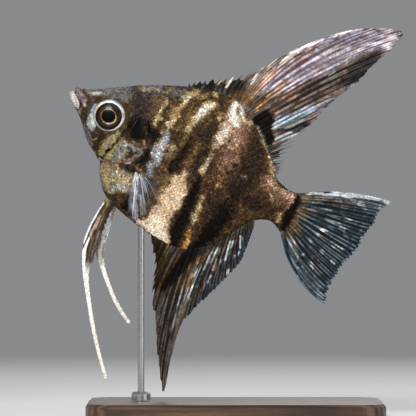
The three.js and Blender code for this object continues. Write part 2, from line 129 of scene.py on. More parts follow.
# Pelvic fins: (at, height, width) from the root to the end of the long feeler.
PELVIC_LEFT = [
    (22.4, -20, 2.7), (22.3, -25.2, 3.6), (22.5, -29.4, 4.2), (23.1, -33.3, 4.2), (24.1, -37.2, 3),
    (25.5, -41, 1.6), (29.2, -46.7, 1.15), (33.7, -52.9, 1.1), (38.6, -58.9, 1), (43, -63.6, 0.9),
]
PELVIC_RIGHT = [
    (23.4, -20.6, 2.2), (24.1, -25.6, 2.6), (24.8, -30.2, 2.8), (26, -33.8, 2.4), (28.1, -36.7, 1.45),
    (31.2, -39.9, 1.15), (35.1, -43.4, 1.1), (38.7, -45.9, 1.05), (41.9, -47.6, 0.95),
]
PELVIC_ROOT_SIDE, PELVIC_SPREAD = 1.3, 3.2

# ---------------------------------------------------------------- curves and noise


def smoothstep(low, high, value):
    """0 at low and 1 at high, level beyond them and easing between them."""
    share = np.clip((value - low) / (high - low), 0, 1)
    return share * share * (3 - 2 * share)


def lerp(start, end, share):
    return start + (end - start) * share


def blend(first, second, share):
    """A mix of colours by a share at each place."""
    return lerp(first, second, np.asarray(share)[..., None])


def bell(distance, width):
    """1 where the distance is 0, falling off to nothing over about two widths."""
    return np.exp(-((distance / width) ** 2))


def full_turn(count):
    """Angles evenly round a circle."""
    return np.linspace(0, 2 * np.pi, count, endpoint=False)


def through(points):
    """A smooth function through (x, value) points, level beyond its ends."""
    xs, values = np.array(points, float).T
    slopes = np.gradient(values, xs)
    slopes[1:-1] = (values[2:] - values[:-2]) / (xs[2:] - xs[:-2])

    def value_at(x):
        x = np.clip(x, xs[0], xs[-1])
        i = np.clip(np.searchsorted(xs, x, side="right") - 1, 0, len(xs) - 2)
        span = xs[i + 1] - xs[i]
        t = (x - xs[i]) / span
        rise = (1 - t) ** 2 * (1 + 2 * t) * values[i] + t**2 * (3 - 2 * t) * values[i + 1]
        return rise + span * (t * (1 - t) ** 2 * slopes[i] - t**2 * (1 - t) * slopes[i + 1])

    return value_at


def smooth_curve(points):
    """A smooth curve through points, by a share from 0 to 1 that runs evenly over the points."""
    knots = np.array(points, float)
    padded = np.vstack([2 * knots[0] - knots[1], knots, 2 * knots[-1] - knots[-2]])

    def point_at(share):
        place = np.clip(share, 0, 1) * (len(knots) - 1)
        i = np.minimum(place.astype(int), len(knots) - 2)
        t = (place - i)[..., None]
        before, start, end, after = (padded[i + k] for k in range(4))
        leave, arrive = (end - before) / 2, (after - start) / 2
        rise = (1 - t) ** 2 * (1 + 2 * t) * start + t**2 * (3 - 2 * t) * end
        return rise + t * (1 - t) ** 2 * leave - t**2 * (1 - t) * arrive

    return point_at


def noise(points, size, seed):
    """Smooth random values from -1 to 1 over points, with grains of a size in mm."""
    scaled = np.asarray(points, float) / size
    cell = np.floor(scaled).astype(np.int64)
    inside = scaled - cell
    inside = inside * inside * (3 - 2 * inside)
    total = np.zeros(scaled.shape[:-1])
    for corner in itertools.product((0, 1), repeat=scaled.shape[-1]):
        mixed = np.full(total.shape, seed * 7919, np.int64)
        weight = np.ones(total.shape)
        for axis, (step, prime) in enumerate(zip(corner, (374761393, 668265263, 1442695041))):
            mixed = mixed ^ ((cell[..., axis] + step) * prime)
            weight = weight * (inside[..., axis] if step else 1 - inside[..., axis])
        mixed = ((mixed & 0xFFFFFFFF) ^ ((mixed & 0xFFFFFFFF) >> 15)) * 2246822519 & 0xFFFFFFFF
        mixed = (mixed ^ (mixed >> 13)) * 3266489917 & 0xFFFFFFFF
        total += weight * ((mixed ^ (mixed >> 16)) / 0x7FFFFFFF - 1)
    return total


def noise_over(size, seed, *axes):
    """Noise over places given one coordinate at a time."""
    return noise(np.stack(np.broadcast_arrays(*axes), -1), size, seed)


def unit(vectors):
    """The same directions with a length of 1."""
    return vectors / np.maximum(np.linalg.norm(vectors, axis=-1, keepdims=True), 1e-9)


# ---------------------------------------------------------------- placing the fish


def fish_origin():
    """Where the level fish's origin stands in the frame, in mm, from the left eyeball's box."""
    low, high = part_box("eye_left")
    middle = (low + high) / 2 / MM
    at, height = EYE_AT - EYE_RIM_DEPTH * math.sin(EYE_FORWARD), EYE_HEIGHT
    x = middle.x - at * math.cos(NOSE_UP) - height * math.sin(NOSE_UP)
    z = middle.z + at * math.sin(NOSE_UP) - height * math.cos(NOSE_UP)
    return x, z


ORIGIN_X, ORIGIN_Z = fish_origin()


def place(points):
    """Level millimetres to metres in the frame."""
    at, side, height = np.moveaxis(np.asarray(points, float), -1, 0)
    x = ORIGIN_X + at * math.cos(NOSE_UP) + height * math.sin(NOSE_UP)
    z = ORIGIN_Z - at * math.sin(NOSE_UP) + height * math.cos(NOSE_UP)
    return np.stack([x, side, z], -1) * MM


# ---------------------------------------------------------------- meshes


def new_mesh(name, points, faces):
    """A mesh from points and a list of face arrays, each of one number of corners."""
    mesh = bpy.data.meshes.new(name)
    corners = np.concatenate([np.asarray(f, np.int32).ravel() for f in faces])
    sizes = np.concatenate([np.full(len(f), np.shape(f)[1]) for f in faces])
    mesh.vertices.add(len(points))
    mesh.vertices.foreach_set("co", np.asarray(points, np.float32).ravel())
    mesh.loops.add(len(corners))
    mesh.loops.foreach_set("vertex_index", corners)
    mesh.polygons.add(len(sizes))
    mesh.polygons.foreach_set("loop_start", (np.cumsum(sizes) - sizes).astype(np.int32))
    mesh.update(calc_edges=True)
    return mesh


def read_points(mesh, what="co"):
    """A mesh's points, or with "normal" the directions its surface faces there."""
    values = np.empty(len(mesh.vertices) * 3, np.float32)
    mesh.vertices.foreach_get(what, values)
    return values.reshape(-1, 3).astype(float)


def new_object(name, data):
    """A new object, linked to the scene."""
    thing = bpy.data.objects.new(name, data)
    bpy.context.scene.collection.objects.link(thing)
    return thing


def with_fourth(colour, fourth, darkest=DARKEST):
    """Colours kept in range, with a fourth value beside them."""
    fourth = np.broadcast_to(fourth, colour.shape[:-1])
    return np.concatenate([np.clip(colour, darkest, BRIGHTEST), fourth[..., None]], -1)


def add_piece(name, points, faces, markings, material, replaced=()):
    """Adds a body of level points to the model, riding on the fish, with a stored value at each point:
    its colour, and how metallic it shines or how opaque it is."""
    mesh = new_mesh(name, place(points.reshape(-1, 3)), faces)
    attribute = mesh.color_attributes.new("marking", "FLOAT_COLOR", "POINT")
    attribute.data.foreach_set("color", np.asarray(markings, np.float32).ravel())
    mesh.shade_smooth()
    mesh.materials.append(material)
    piece = new_object(name, mesh)
    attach(piece, "root")
    if replaced:
        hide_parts(*replaced)
    return piece


def wall_faces(rows, columns):
    """Quads of a grid of points stored row by row, each row closed on itself."""
    row, column = np.meshgrid(np.arange(rows - 1), np.arange(columns), indexing="ij")
    following = (column + 1) % columns
    corners = [row * columns + column, row * columns + following]
    corners += [(row + 1) * columns + following, (row + 1) * columns + column]
    return np.stack(corners, -1).reshape(-1, 4)


def closed_tube(rings):
    """Points and faces of a closed body skinned over rings of points, with a fan over each end."""
    count, sides = rings.shape[:2]
    points = np.vstack([rings.reshape(-1, 3), rings[0].mean(0), rings[-1].mean(0)])
    step = np.arange(sides)
    after = (step + 1) % sides
    first = np.stack([after, step, np.full(sides, count * sides)], -1)
    base = (count - 1) * sides
    last = np.stack([base + step, base + after, np.full(sides, count * sides + 1)], -1)
    return points, [wall_faces(count, sides), first, last]


def outward(points, faces):
    """The same faces, turned over if the body they close is inside out."""
    volume = 0
    for group in faces:
        corner = points[group]
        for k in range(1, corner.shape[1] - 1):
            cross = np.cross(corner[:, k], corner[:, k + 1])
            volume += np.einsum("ij,ij->", corner[:, 0], cross)
    return faces if volume > 0 else [group[:, ::-1] for group in faces]


# ---------------------------------------------------------------- body surface

back_height, belly_height = through(BACK), through(BELLY)
half_width, widest_level, sharpness = through(HALF_WIDTH), through(WIDEST_LEVEL), through(RIDGE_SHARPNESS)


def section(at, turn, inset=0):
    """The body's surface: turn is 0 at the widest level on the right, 90 degrees on the back."""
    level = widest_level(at)
    rise = np.sin(turn)
    reach = np.where(rise > 0, back_height(at) - level, level - belly_height(at)) - inset
    across = np.cos(turn)
    spread = np.abs(across) ** sharpness(at) * np.sign(across)
    return np.stack(np.broadcast_arrays(at, (half_width(at) - inset) * spread, level + reach * rise), -1)


class Flank:
    """The body's right side by station and by girth, in mm round the section from its widest level."""

    STATION_STEP, HALF_SHARES = 0.5, 80

    def __init__(self):
        self.stations = np.arange(SNOUT_END, TAIL_END + 3, self.STATION_STEP)
        turns = np.linspace(-np.pi / 2, np.pi / 2, 241)
        points = section(self.stations[:, None], turns[None, :])
        steps = np.linalg.norm(np.diff(points, axis=1), axis=-1)
        girth = np.concatenate([np.zeros((len(steps), 1)), np.cumsum(steps, 1)], 1)
        girth -= girth[:, len(turns) // 2, None]
        self.up, self.down = girth[:, -1], -girth[:, 0]
        shares = np.linspace(-1, 1, 2 * self.HALF_SHARES + 1)
        lengths = np.where(shares > 0, self.up[:, None], self.down[:, None])
        self.turns = np.array([np.interp(shares * n, g, turns) for n, g in zip(lengths, girth)])

    def limits(self, at):
        return np.interp(at, self.stations, self.up), np.interp(at, self.stations, self.down)

    def point(self, at, girth):
        """A point of the surface; beyond the back or belly line it runs on round the other side."""
        up, down = self.limits(at)
        over, under = girth > up, girth < -down
        girth = np.where(over, 2 * up - girth, np.where(under, -2 * down - girth, girth))
        share = np.clip(girth / np.where(girth > 0, up, down), -1, 1)
        row = np.clip((at - SNOUT_END) / self.STATION_STEP, 0, len(self.stations) - 1.001)
        column = np.clip((share + 1) * self.HALF_SHARES, 0, 2 * self.HALF_SHARES - 0.001)
        i, j = row.astype(int), column.astype(int)
        u, v = row - i, column - j
        near = lerp(self.turns[i, j], self.turns[i, j + 1], v)
        far = lerp(self.turns[i + 1, j], self.turns[i + 1, j + 1], v)
        points = section(at, lerp(near, far, u))
        points[..., 1] *= np.where(over | under, -1, 1)
        return points

    def normal(self, at, girth):
        step = 0.15
        along = self.point(at + step, girth) - self.point(at - step, girth)
        upwards = self.point(at, girth + step) - self.point(at, girth - step)
        return unit(np.cross(upwards, along))


flank = Flank()

# ---------------------------------------------------------------- relief of the skin


def distance_to(at, height, line):
    """Signed distance to a line of (at, height) points, positive on its left going along it."""
    nearest = np.full(np.shape(at), np.inf)
    signed = np.zeros(np.shape(at))
    for start, end in zip(line[:-1], line[1:]):
        run = end - start
        share = np.clip(((at - start[0]) * run[0] + (height - start[1]) * run[1]) / (run @ run), 0, 1)
        off_at, off_height = at - start[0] - share * run[0], height - start[1] - share * run[1]
        gap = np.hypot(off_at, off_height)
        closer = gap < nearest
        signed = np.where(closer, gap * np.sign(off_height * run[0] - off_at * run[1]), signed)
        nearest = np.minimum(gap, nearest)
    return signed


def dense(line, count=40):
    """A line of few points as a smooth line of many."""
    return smooth_curve(line)(np.linspace(0, 1, count))


GILL_LINE, GROOVE_LINE = dense(GILL_EDGE), dense(GILL_GROOVE, 24)
# The gill cover's edge: how far it stands up, and the heights from which it grows into the flank.
GILL_STEP, GILL_FREE = 0.34, (2.5, 5)

# Folds of the face: width, depth (raised where negative) and their lines.
FOLDS = [
    (0.35, 0.22, [(4.2, 4.1), (5, 2.4), (6, 0.4), (7.1, -2.2)]),
    (0.3, 0.2, [(3.7, -2.3), (5.2, -2.8), (6.6, -4.4), (8.2, -6.6)]),
    (0.3, 0.16, [(5.6, -0.8), (5.4, -2.3)]),
    (0.4, 0.16, [(9.6, -6.2), (11.2, -8.2), (13, -10)]),
    (0.35, 0.14, [(11.8, -5), (12.9, -7.2), (13.4, -9.6)]),
    (0.3, 0.1, [(18.3, -9.9), (20.6, -8), (21.9, -5.4)]),
    (0.5, -0.14, [(6.6, 5.4), (7.4, 3.2), (7.3, 0.6), (7.7, -2.2), (9.4, -4.5)]),
    (0.45, -0.12, [(19.3, 2.6), (19.1, -1), (18.6, -4.6), (17.4, -8)]),
]
NOSTRIL = (7.1, 5.3)
PECTORAL_ROOT = (26, -9)


def relief(points):
    """How far the skin stands proud of the plain body form, in mm."""
    at, _, height = np.moveaxis(points, -1, 0)
    edge = distance_to(at, height, GILL_LINE)
    free = 1 - smoothstep(*GILL_FREE, height)
    cover = GILL_STEP * np.exp(-np.abs(edge) / 2.4) * smoothstep(0.14, -0.14, edge)
    gap = GILL_STEP * np.exp(-np.abs(edge) / 1.5) * smoothstep(-0.14, 0.14, edge)
    raised = free * (cover - gap)
    groove = distance_to(at, height, GROOVE_LINE)
    raised -= 0.26 * bell(groove, 0.4) - 0.12 * bell(groove + 0.9, 0.6)
    for width, depth, line in FOLDS:
        raised -= depth * bell(distance_to(at, height, dense(line, 14)), width)
    pit = np.hypot(at - NOSTRIL[0], height - NOSTRIL[1])
    raised += 0.12 * bell(pit - 0.55, 0.2) - 0.4 * bell(pit, 0.34)
    root = np.hypot(at - PECTORAL_ROOT[0], (height - PECTORAL_ROOT[1]) / 1.1)
    raised += 0.3 * bell(root, 1.5)
    ring = np.hypot(at - EYE_AT + 0.55, height - EYE_HEIGHT)
    raised += 0.16 * bell(ring - 4.95, 0.4)
    raised += 0.05 * noise(points, 2.2, 3) * smoothstep(3, 10, at)
    return raised


def eye_depth(radius):
    """The front of the eyeball's distance from the median plane, by radius about its axis."""
    front = np.array(EYE_PROFILE[:6])
    return np.interp(radius, front[:, 0], front[:, 1])


def from_eye_axis(points):
    """Distances from the eye's axis, and along it from the median plane."""
    at, side, height = np.moveaxis(points, -1, 0)
    out = np.abs(side)
    across = (at - EYE_AT) * math.cos(EYE_FORWARD) + out * math.sin(EYE_FORWARD)
    along = out * math.cos(EYE_FORWARD) - (at - EYE_AT) * math.sin(EYE_FORWARD)
    return np.hypot(across, height - EYE_HEIGHT), along


# ---------------------------------------------------------------- markings


def srgb(red, green, blue):
    """Linear colour from screen values of 0 to 255."""
    share = np.array([red, green, blue]) / 255
    return np.where(share <= 0.04045, share / 12.92, ((share + 0.055) / 1.055) ** 2.4)


def strokes(text):
    """Strokes from lines of "tone softness strength: path; path"; the points of a path are
    "at height half-width" with commas between them."""
    marks = []
    for line in text.strip().splitlines():
        head, _, paths = line.partition(":")
        tone, softness, strength = head.split()
        for path in paths.split(";"):
            points = [tuple(float(value) for value in spot.split()) for spot in path.split(",")]
            marks.append((tone, float(softness), float(strength), points))
    return marks


TONES = {
    "brown": (64, 48, 32), "dusk": (48, 36, 29), "bar": (17, 12, 9), "black": (3, 3, 2),
    "umber": (92, 68, 44), "rose": (121, 88, 72), "pearl": (238, 232, 218), "pink_pearl": (196, 170, 146),
    "cream": (214, 184, 150), "pale_cream": (250, 226, 200), "gold": (122, 96, 58),
    "pale_gold": (176, 158, 112), "orange": (180, 128, 68), "amber_light": (216, 164, 96),
    "amber": (146, 104, 46), "olive": (46, 38, 24), "silver": (132, 140, 147),
    "blue_silver": (176, 188, 194), "grey": (104, 104, 100), "smoke": (70, 65, 63), "slate": (50, 52, 54),
    "mauve": (134, 120, 124), "lip": (204, 196, 191), "yellow_silver": (150, 138, 96),
    "pink": (168, 128, 114), "breast": (142, 132, 106), "plum": (50, 41, 42),
}

# Strokes on the body, painted in this order. The pale cream strokes along the belly's underside and the
# light amber stroke low on the orange band are the belly's own colours painted lighter: painted light that
# makes up for the shade on the downward-facing underside.
# The small pearl strokes on the snout and cheek are pearly skin and painted highlights both: they stand in
# for the head's sparkles of light.
BODY_MARKS = strokes("""
grey 2 .95: 4 4.2 .9, 9 6.3 1.6, 13 8 2.2
smoke 1.5 .85: 15.5 9.5 2, 22 12.5 2.2, 27 15.5 2
silver 1.2 .5: 17 11 .8, 21 13 .6
plum 1.5 .75: 16.8 8 1.8, 18 5.6 2, 20 8 1.5
umber 1 .6: 21.7 8.6 .9, 21.4 5.8 .8
rose 2 .95: 44.4 14 2.2, 45.6 9.4 3, 46.2 5 2.4, 45 1.6 1.2
umber 1.4 .4: 44.2 1 1, 44.4 -3 1.2
dusk 1.2 .9: 46.4 -5.4 1.2, 46.8 -9 1.4, 47.4 -14 1.2
dusk 2 1: 51.8 11 2.2, 52.8 5 3, 52 -2 3
bar 3 .5: 52 -1.6 1.6, 51.6 -6 2.2
bar 2 1: 51.4 -9.4 2.6, 50.4 -15.5 2.4, 48.6 -21 2, 48 -26 1.6
rose 1.4 .9: 55.6 9.6 .8, 58 5.4 1.2, 57.8 2.6 1.6
rose 1.5 .65: 57.6 3.4 1.2, 60.6 2.2 1.9, 65 1.2 2.4
pink_pearl 1.2 .25: 58.4 4.2 .5, 61 2.6 .7, 64.6 2.4 .9
dusk 1.4 1: 56.4 -3.4 2.2, 60.4 -3.4 1.1, 62.4 -3.6 .9
bar 1.4 .4: 55.4 -3 1.4, 58 -4 .8
umber 1.2 .3: 57 -7.6 .9, 60 -5.7 .5, 63.6 -4.4 .7
umber 1 .3: 56 -9.4 .7, 54.6 -12.4 .5, 53 -14.8 .4
gold .8 .3: 55.4 -10 .2, 54.2 -13 .2
smoke 1 .8: 4 -2.6 .7, 7 -5.4 .8, 11 -8.9 .6
bar .6 .3: 4.8 -2.6 .4, 6.2 -4 .3
smoke .9 .85: 5 2.6 .5, 6.2 1.2 .7, 6.4 -1.4 .6, 8 -4 .4
olive .6 .3: 5.4 .4 .4, 6 -1.6 .3
silver .8 .5: 3.5 4.2 .4, 5 3.4 .5, 7 4.5 .6, 8.7 5.1 .3
pearl .5 .4: 4.4 3.3 .3, 6 4 .4, 7.4 4.8 .3
pearl .3 .35: 6.8 4.9 .2, 7.6 4.6 .2
blue_silver .7 1: 7.5 1 .4, 8 -2 .9, 8.5 -3.8 1.1, 9.2 -4.9 .7
pearl .6 .6: 8 -1.6 .4, 8.6 -3.6 .6
bar .25 .55: 5.4 -.5 .15, 6.5 -3 .2, 7.3 -4.6 .15
silver .5 .35: 6.4 -5.1 .3, 7.6 -6.3 .4, 10.6 -8.9 .3, 13 -10.3 .2
silver .6 .15: 7.6 -5.2 .5, 8.8 -6.2 .4
plum .6 .85: 10.2 -5.3 .7, 10.7 -6.7 .8
mauve .35 .5: 9.8 -4.9 .2, 9.3 -6.6 .3, 10.6 -7.7 .3
bar .6 .35: 11.2 -7.2 .4, 12.2 -9 .5
pale_gold .25 .6: 12.4 -5.4 .12, 12.1 -6.5 .18, 11 -7.5 .18
olive .8 1: 12.5 -5.2 .8, 12.9 -7.2 1.3, 12.4 -9 1.1
yellow_silver .4 .95: 15.9 -2.7 .4, 15.6 -4.6 .9, 14.9 -6.9 1.2, 14.5 -9.7 .8
silver .6 .4: 15.4 -6 .4, 14.9 -7.6 .4
gold .25 .85: 14.4 -4.2 .2, 13.8 -6 .15, 13.2 -7.3 .15, 13.4 -8.4 .15, 14.2 -8.8 .15, 13.9 -10.2 .15
yellow_silver .4 .6: 17.4 .4 .2, 17.2 -1.8 .3, 16.9 -3.6 .3
silver .9 .8: 18.9 -5 .7, 18.7 -7.2 1.3, 18.2 -9.3 1
yellow_silver .7 .45: 18.4 -4.6 .4, 19.6 -6.4 .5, 18.8 -8.6 .5
yellow_silver .5 .8: 17.7 -3.9 .5, 17.1 -6 .45, 16.9 -8.6 .5, 16.4 -10.3 .5
yellow_silver .5 .6: 19.4 -9.6 .4, 20.6 -8.2 .4
gold .8 .8: 20.2 -3.1 .5, 22.2 -3.3 .5
olive .9 .5: 21.2 -5.4 .8
blue_silver .5 .4: 19.5 -5 .3, 21.2 -4.3 .3, 22.8 -4.3 .3
olive .4 1: 21.7 -5.9 .6, 22.4 -6.4 .7, 21.9 -7.4 .5
blue_silver .2 .6: 20.3 -6.6 .1, 20.8 -5.3 .1, 22.6 -4.9 .1
gold .2 .8: 20.7 -6.8 .25, 21.1 -7 .15
bar .3 1: 17.6 .2 .2, 17.2 -3 .25, 16.6 -5.6 .35, 16.2 -7.5 .45, 15.6 -8.8 .35
bar 1.6 .7: 18.4 3.4 1, 19 .6 2, 20 -1.6 1.6
black 1.6 1: 20 2.4 1, 20.2 .6 1.7, 20.6 -1 1.5, 22.2 -.6 1.2
black 1 .7: 22.2 .9 .6
black 1.4 1: 20.8 3 .8, 22.4 2.4 1, 23.8 1.5 1.2, 24.8 .6 1.4
slate .8 .35: 20.4 4 .3, 22.4 4.1 .3
olive .8 .6: 22.6 -1.6 .5, 24 -2 .6
bar .8 .95: 25.3 2.4 .5, 25.7 -1.6 .2, 25.4 -4.8 1, 24.8 -7.4 1.1, 24.2 -9.8 .8
pink .4 .9: 23.5 -1.5 .2, 23.8 -3.6 .25, 23.7 -5 .15, 22.9 -7.3 .2, 21.4 -8.8 .25, 19.8 -10 .2
blue_silver .2 .6: 24.1 -1.8 .12, 24.2 -4.6 .15, 23.3 -7.3 .12, 21.6 -9.4 .12
silver .25 .9: 19.7 -10.6 .2, 17.6 -11.1 .2, 14.6 -11.4 .25
breast 1 1: 17.2 -13.3 1.6, 20.4 -14.6 3.4, 23 -13.8 2.8
pale_gold 1 .75: 17 -12.8 .8, 19.4 -15.8 .8
pale_gold .8 .3: 21.6 -13.4 .8
pink_pearl 1 .6: 24 -13 1, 24.2 -15.6 .8
blue_silver .9 .4: 21.6 -16.2 .8, 24.6 -15.4 .6
smoke .6 .8: 15.2 -13 .2, 16.6 -16.1 .3, 20 -19 .3, 24 -20.8 .5
bar .8 .9: 26.6 -17.4 .7, 26.4 -19.4 1.2, 29 -20.6 .9
orange .3 .6: 16.2 -11.7 .1, 18.6 -11.3 .12, 20.6 -10.4 .12
bar .4 .8: 22.4 -9.9 .4, 23.6 -10.8 .4
gold .3 .7: 24.4 -8.4 .3, 24.6 -9.6 .3, 26 -9.3 .2
rose .6 .4: 26.5 4.1 .5, 26 2.6 .4
pale_gold 1.1 .35: 15.6 10.5 .2, 18.2 11.6 .3, 20.8 12.4 .3, 23.6 14 .3
pale_gold .3 .75: 16.9 10.6 .3, 17.5 10.4 .25
gold 1.4 .6: 20.2 9 .3, 21.6 11.4 .4, 22.8 8.6 .8
pale_gold .6 .85: 23.6 10.7 .5, 23.8 8.4 .45, 24.1 6 .55, 23.6 3.9 .4
gold 1 .5: 26.2 11.2 .6, 26.8 9.4 .7
grey 1 .8: 25 13.6 .9, 27 14.8 .8
gold 1.2 .5: 30 16.4 .9, 28.4 12.2 .9, 27.2 8 1.4
pale_gold 1 .85: 30 16.9 .7, 28.6 14.7 1, 28 12.2 .4, 27.7 9.6 .4, 27.6 7.2 .9, 27.6 5.4 .8
pearl .6 .5: 28.8 14.8 .4, 28.5 13.2 .3
pearl .8 .5: 27.8 7 .3, 27.5 5.6 .5
silver .7 1: 27.7 2.9 .8, 28.1 .6 1.4, 28 -2.4 1.4, 28.2 -5.6 1, 28.4 -8.8 .8
slate 1 .15: 28.4 1.6 .6, 28 -1.4 .8
pearl .6 .5: 27.6 2 .4, 27.6 -.6 .4, 28.4 -3 .4, 28.4 -6.4 .3
rose .5 .5: 29.6 1.6 .3, 27.2 -3.8 .2
yellow_silver 1.2 .75: 30.6 1.4 .4, 30.8 -2 .6
umber 1 .7: 31.4 -6 1, 31.4 -9.4 .9
gold .8 .4: 31.8 -7.6 .4, 30.8 -8.6 .4
gold 1.4 .5: 31 12.4 1, 30.6 8.6 .8, 30.2 5.6 .7
gold 1 .7: 36.2 15.8 .5, 34 13.3 1.6, 33 9.6 1.3, 32.7 5.8 .8
pale_gold .6 .9: 36.2 15.9 .4, 34.2 13.4 1.3, 32.9 9.6 1, 32.6 6.2 .6; 34.5 19.4 .4, 34.9 18 .6
pearl .8 .85: 35.4 15 .4, 34.2 13.4 .8, 33.3 11.4 .7, 33.1 8.8 .2
gold .8 .6: 33 4.8 .5, 32.9 1.8 .4
pale_gold 1.2 .35: 33.4 17 .4, 30.8 15 .4
umber 1 .45: 37.2 15 1, 37 11 1.2
dusk 1.2 1: 37.8 9.6 1.2, 37.2 6 1.8
bar .8 .85: 34.5 4.6 .5, 34 0 .9, 33.2 -5.2 1.3
dusk .8 .85: 38.9 3.4 1, 39 -1.6 1.2
gold .6 .7: 36.9 4.2 .4, 36.3 1.8 .3, 36.9 -.4 .4, 36.5 -2.8 .5
pink_pearl 1 .9: 41.7 10.6 1.8, 41.3 7.6 1.6, 41.1 5.2 .6
pink_pearl 2 .35: 45 15 1.2, 45 11 1.3, 45 7.4 .8
dusk 2 .4: 49 13 .8, 49 8 1, 48.6 3 1
pink_pearl 1.2 .7: 40.8 19 .8, 41 16 1.6, 42.2 14 2, 43.6 16.6 .8
pearl .8 1: 40.8 18.2 .6, 40.9 16 .9, 41.9 14.5 1.2, 43.6 13.6 .6
pearl .5 .8: 41.6 19.8 .4, 43.6 17 .6, 43.2 15.4 .5
pearl .9 .6: 41.6 10.4 1, 41.2 7.6 .8
pale_gold .5 .85: 46.2 17 .4, 46.7 15.6 .4
pale_gold .5 .8: 38.8 12.6 .5, 39.3 14.4 .35
pink_pearl .7 .8: 41.2 3.4 .25, 41.5 1.2 .4, 40.8 -1.2 .6, 41.6 -2.8 .4
pearl .4 .4: 41.5 1.4 .2, 41.2 -1 .25
gold .8 .6: 46.4 0 .4, 46.4 -3 .6
orange .5 .85: 46.5 -2 .25, 46.1 -3.8 .45
bar .5 .97: 40.7 -3.9 .7, 41.2 -7.4 1.2, 42 -13.4 1.5, 41.9 -19 1.4, 42.4 -25 1.8
gold .8 .9: 34.6 -5.6 .4, 33.6 -8.2 1, 33.4 -11 1.1, 33.3 -14 .7
pale_gold .5 .5: 33.6 -10 .4, 33.8 -12.6 .4
cream .5 1: 37 -3.6 .25, 36.8 -5 1, 36.8 -7.4 1.8, 37.2 -9.8 2.4
cream .5 1: 37.3 -9.8 2.6, 36.9 -12.6 2.9, 36.2 -16.8 2.5, 36.2 -19.6 2.8, 37.4 -22 2.8
cream .6 .95: 31.4 -21.8 .4, 34.6 -21.4 1.3, 39.6 -22 1.3, 41 -23.6 .6
pale_cream 1.4 1: 36 -19.6 1.6, 34 -21 1.5, 38.6 -22 1.6
pale_cream .8 1: 31.4 -21.8 .4, 36 -22.6 .8
pale_cream 1.4 .35: 36.6 -7 .8, 38 -12.6 1
orange .5 .35: 34.3 -15.6 .2, 33.7 -18.6 .3, 32.8 -20 .3
orange .3 .35: 36 -16.8 .3, 38.4 -18.8 .2
umber .8 .6: 31.6 -12 .7, 32 -16 .8, 31.8 -19 .5
pale_gold .5 .85: 43.6 -8.2 .3, 44 -10.6 .5, 44.5 -13.4 .5, 44.9 -15.8 .4
pink_pearl .5 .6: 44 -9.6 .2, 44.4 -12.4 .3, 44.7 -15 .3
orange .7 .95: 44.6 -17.2 .3, 45.2 -19.4 .6, 45.3 -21.6 .45, 45.2 -25 .3
amber_light .6 .7: 45 -19 .4, 45.4 -20.6 .5, 45.6 -22.4 .4
pale_gold .4 .8: 50.6 14.2 .25, 51.6 13 .4, 54.6 10.8 .25, 57.4 7.1 .35, 58.7 5.6 .5
pink_pearl .3 .25: 44 3.3 .05, 50 1.9 .08, 57 .2 .05
pink_pearl .6 .35: 58 4.2 .3, 60.4 .2 .3, 61.4 -1.2 .3
pink_pearl 1 .5: 61.6 3 .6, 64.8 2.2 1, 66 1 .6
bar .6 1: 67.3 3.2 .9, 67.2 0 1.2, 67 -4 1.2, 67.6 -7.6 .8
pale_gold .5 .9: 64.8 -3.2 .3, 64.8 -5 .6
pearl .12 .5: 26.4 4.9 .05, 30.2 5 .05
gold .9 .55: 69.4 1.6 .4, 69.5 -2 .5, 69.6 -7.6 .5
bar .2 .6: 69 3.3 .05, 71 3.8 .2; 68.8 1.2 .05, 71 1.4 .2; 68.8 -.9 .05, 71 -1 .2; 68.8 -3 .05, 71 -3.4 .2
bar .2 .6: 69 -5.2 .05, 71 -5.9 .2
mauve .3 .9: .8 3.1 .8, 2.2 2.1 .95, 3.8 .8 .8
silver .4 .5: 1 3 .4, 1.8 2.6 .4
pink_pearl .35 .6: 3.8 .7 .4, 4.8 -.1 .45
silver .2 .8: 5.1 -.4 .2
lip .25 1: -.1 1.3 .7, 1 .3 .8, 2.2 -.5 .75, 3.2 -1.4 .45
amber .2 .8: 1.6 1.2 .12, 2.5 .5 .2
yellow_silver .35 .6: 4.2 -1.6 .4, 4.4 -2.6 .35
black .12 .9: .1 2 .05, 1.4 1.4 .08, 3.6 -.7 .08
""")
# Pale strokes go through amber at their edges.
BODY_HALO = ("amber", ("pearl", "pink_pearl", "cream", "silver", "pale_gold", "blue_silver"), 0.5)


def stroke_cover(at, height, points, softness):
    """How far a stroke of (at, height, half width) points covers each place, from 0 to 1."""
    points = np.array(points, float)
    if len(points) == 1:
        points = np.vstack([points, points + (0, 0.01, 0)])
    outside = np.full(at.shape, np.inf)
    for start, end in zip(points[:-1], points[1:]):
        run = end - start
        share = ((at - start[0]) * run[0] + (height - start[1]) * run[1]) / (run[:2] @ run[:2])
        share = np.clip(share, 0, 1)
        gap = np.hypot(at - start[0] - share * run[0], height - start[1] - share * run[1])
        outside = np.minimum(outside, gap - start[2] - share * run[2])
    return 1 - smoothstep(-softness, softness, outside)


def paint(at, height, base, marks, tones, grain, halo=None):
    """Colours of places after strokes in the given order over a base tone. Grain breaks up the
    strokes' edges, and the strokes whose tones are in halo go through its colour at their edges."""
    colour = np.broadcast_to(srgb(*tones[base]), at.shape + (3,))
    for tone, softness, strength, points in marks:
        cover = stroke_cover(at, height, points, softness)
        cover = smoothstep(0.12, 0.88, cover + 1.8 * grain * cover * (1 - cover))
        if halo and tone in halo[1]:
            edge = 4 * cover * (1 - cover) * strength * halo[2]
            colour = blend(colour, srgb(*tones[halo[0]]), edge)
        colour = blend(colour, srgb(*tones[tone]), strength * cover)
    return colour


def paint_pairs(at, height, base, marks, pairs, grain):
    """The same strokes painted twice: with the tones between rays, and with those of the rays."""
    for part in (0, 1):
        tones = {name: pair[part] for name, pair in pairs.items()}
        yield paint(at, height, base, marks, tones, grain)


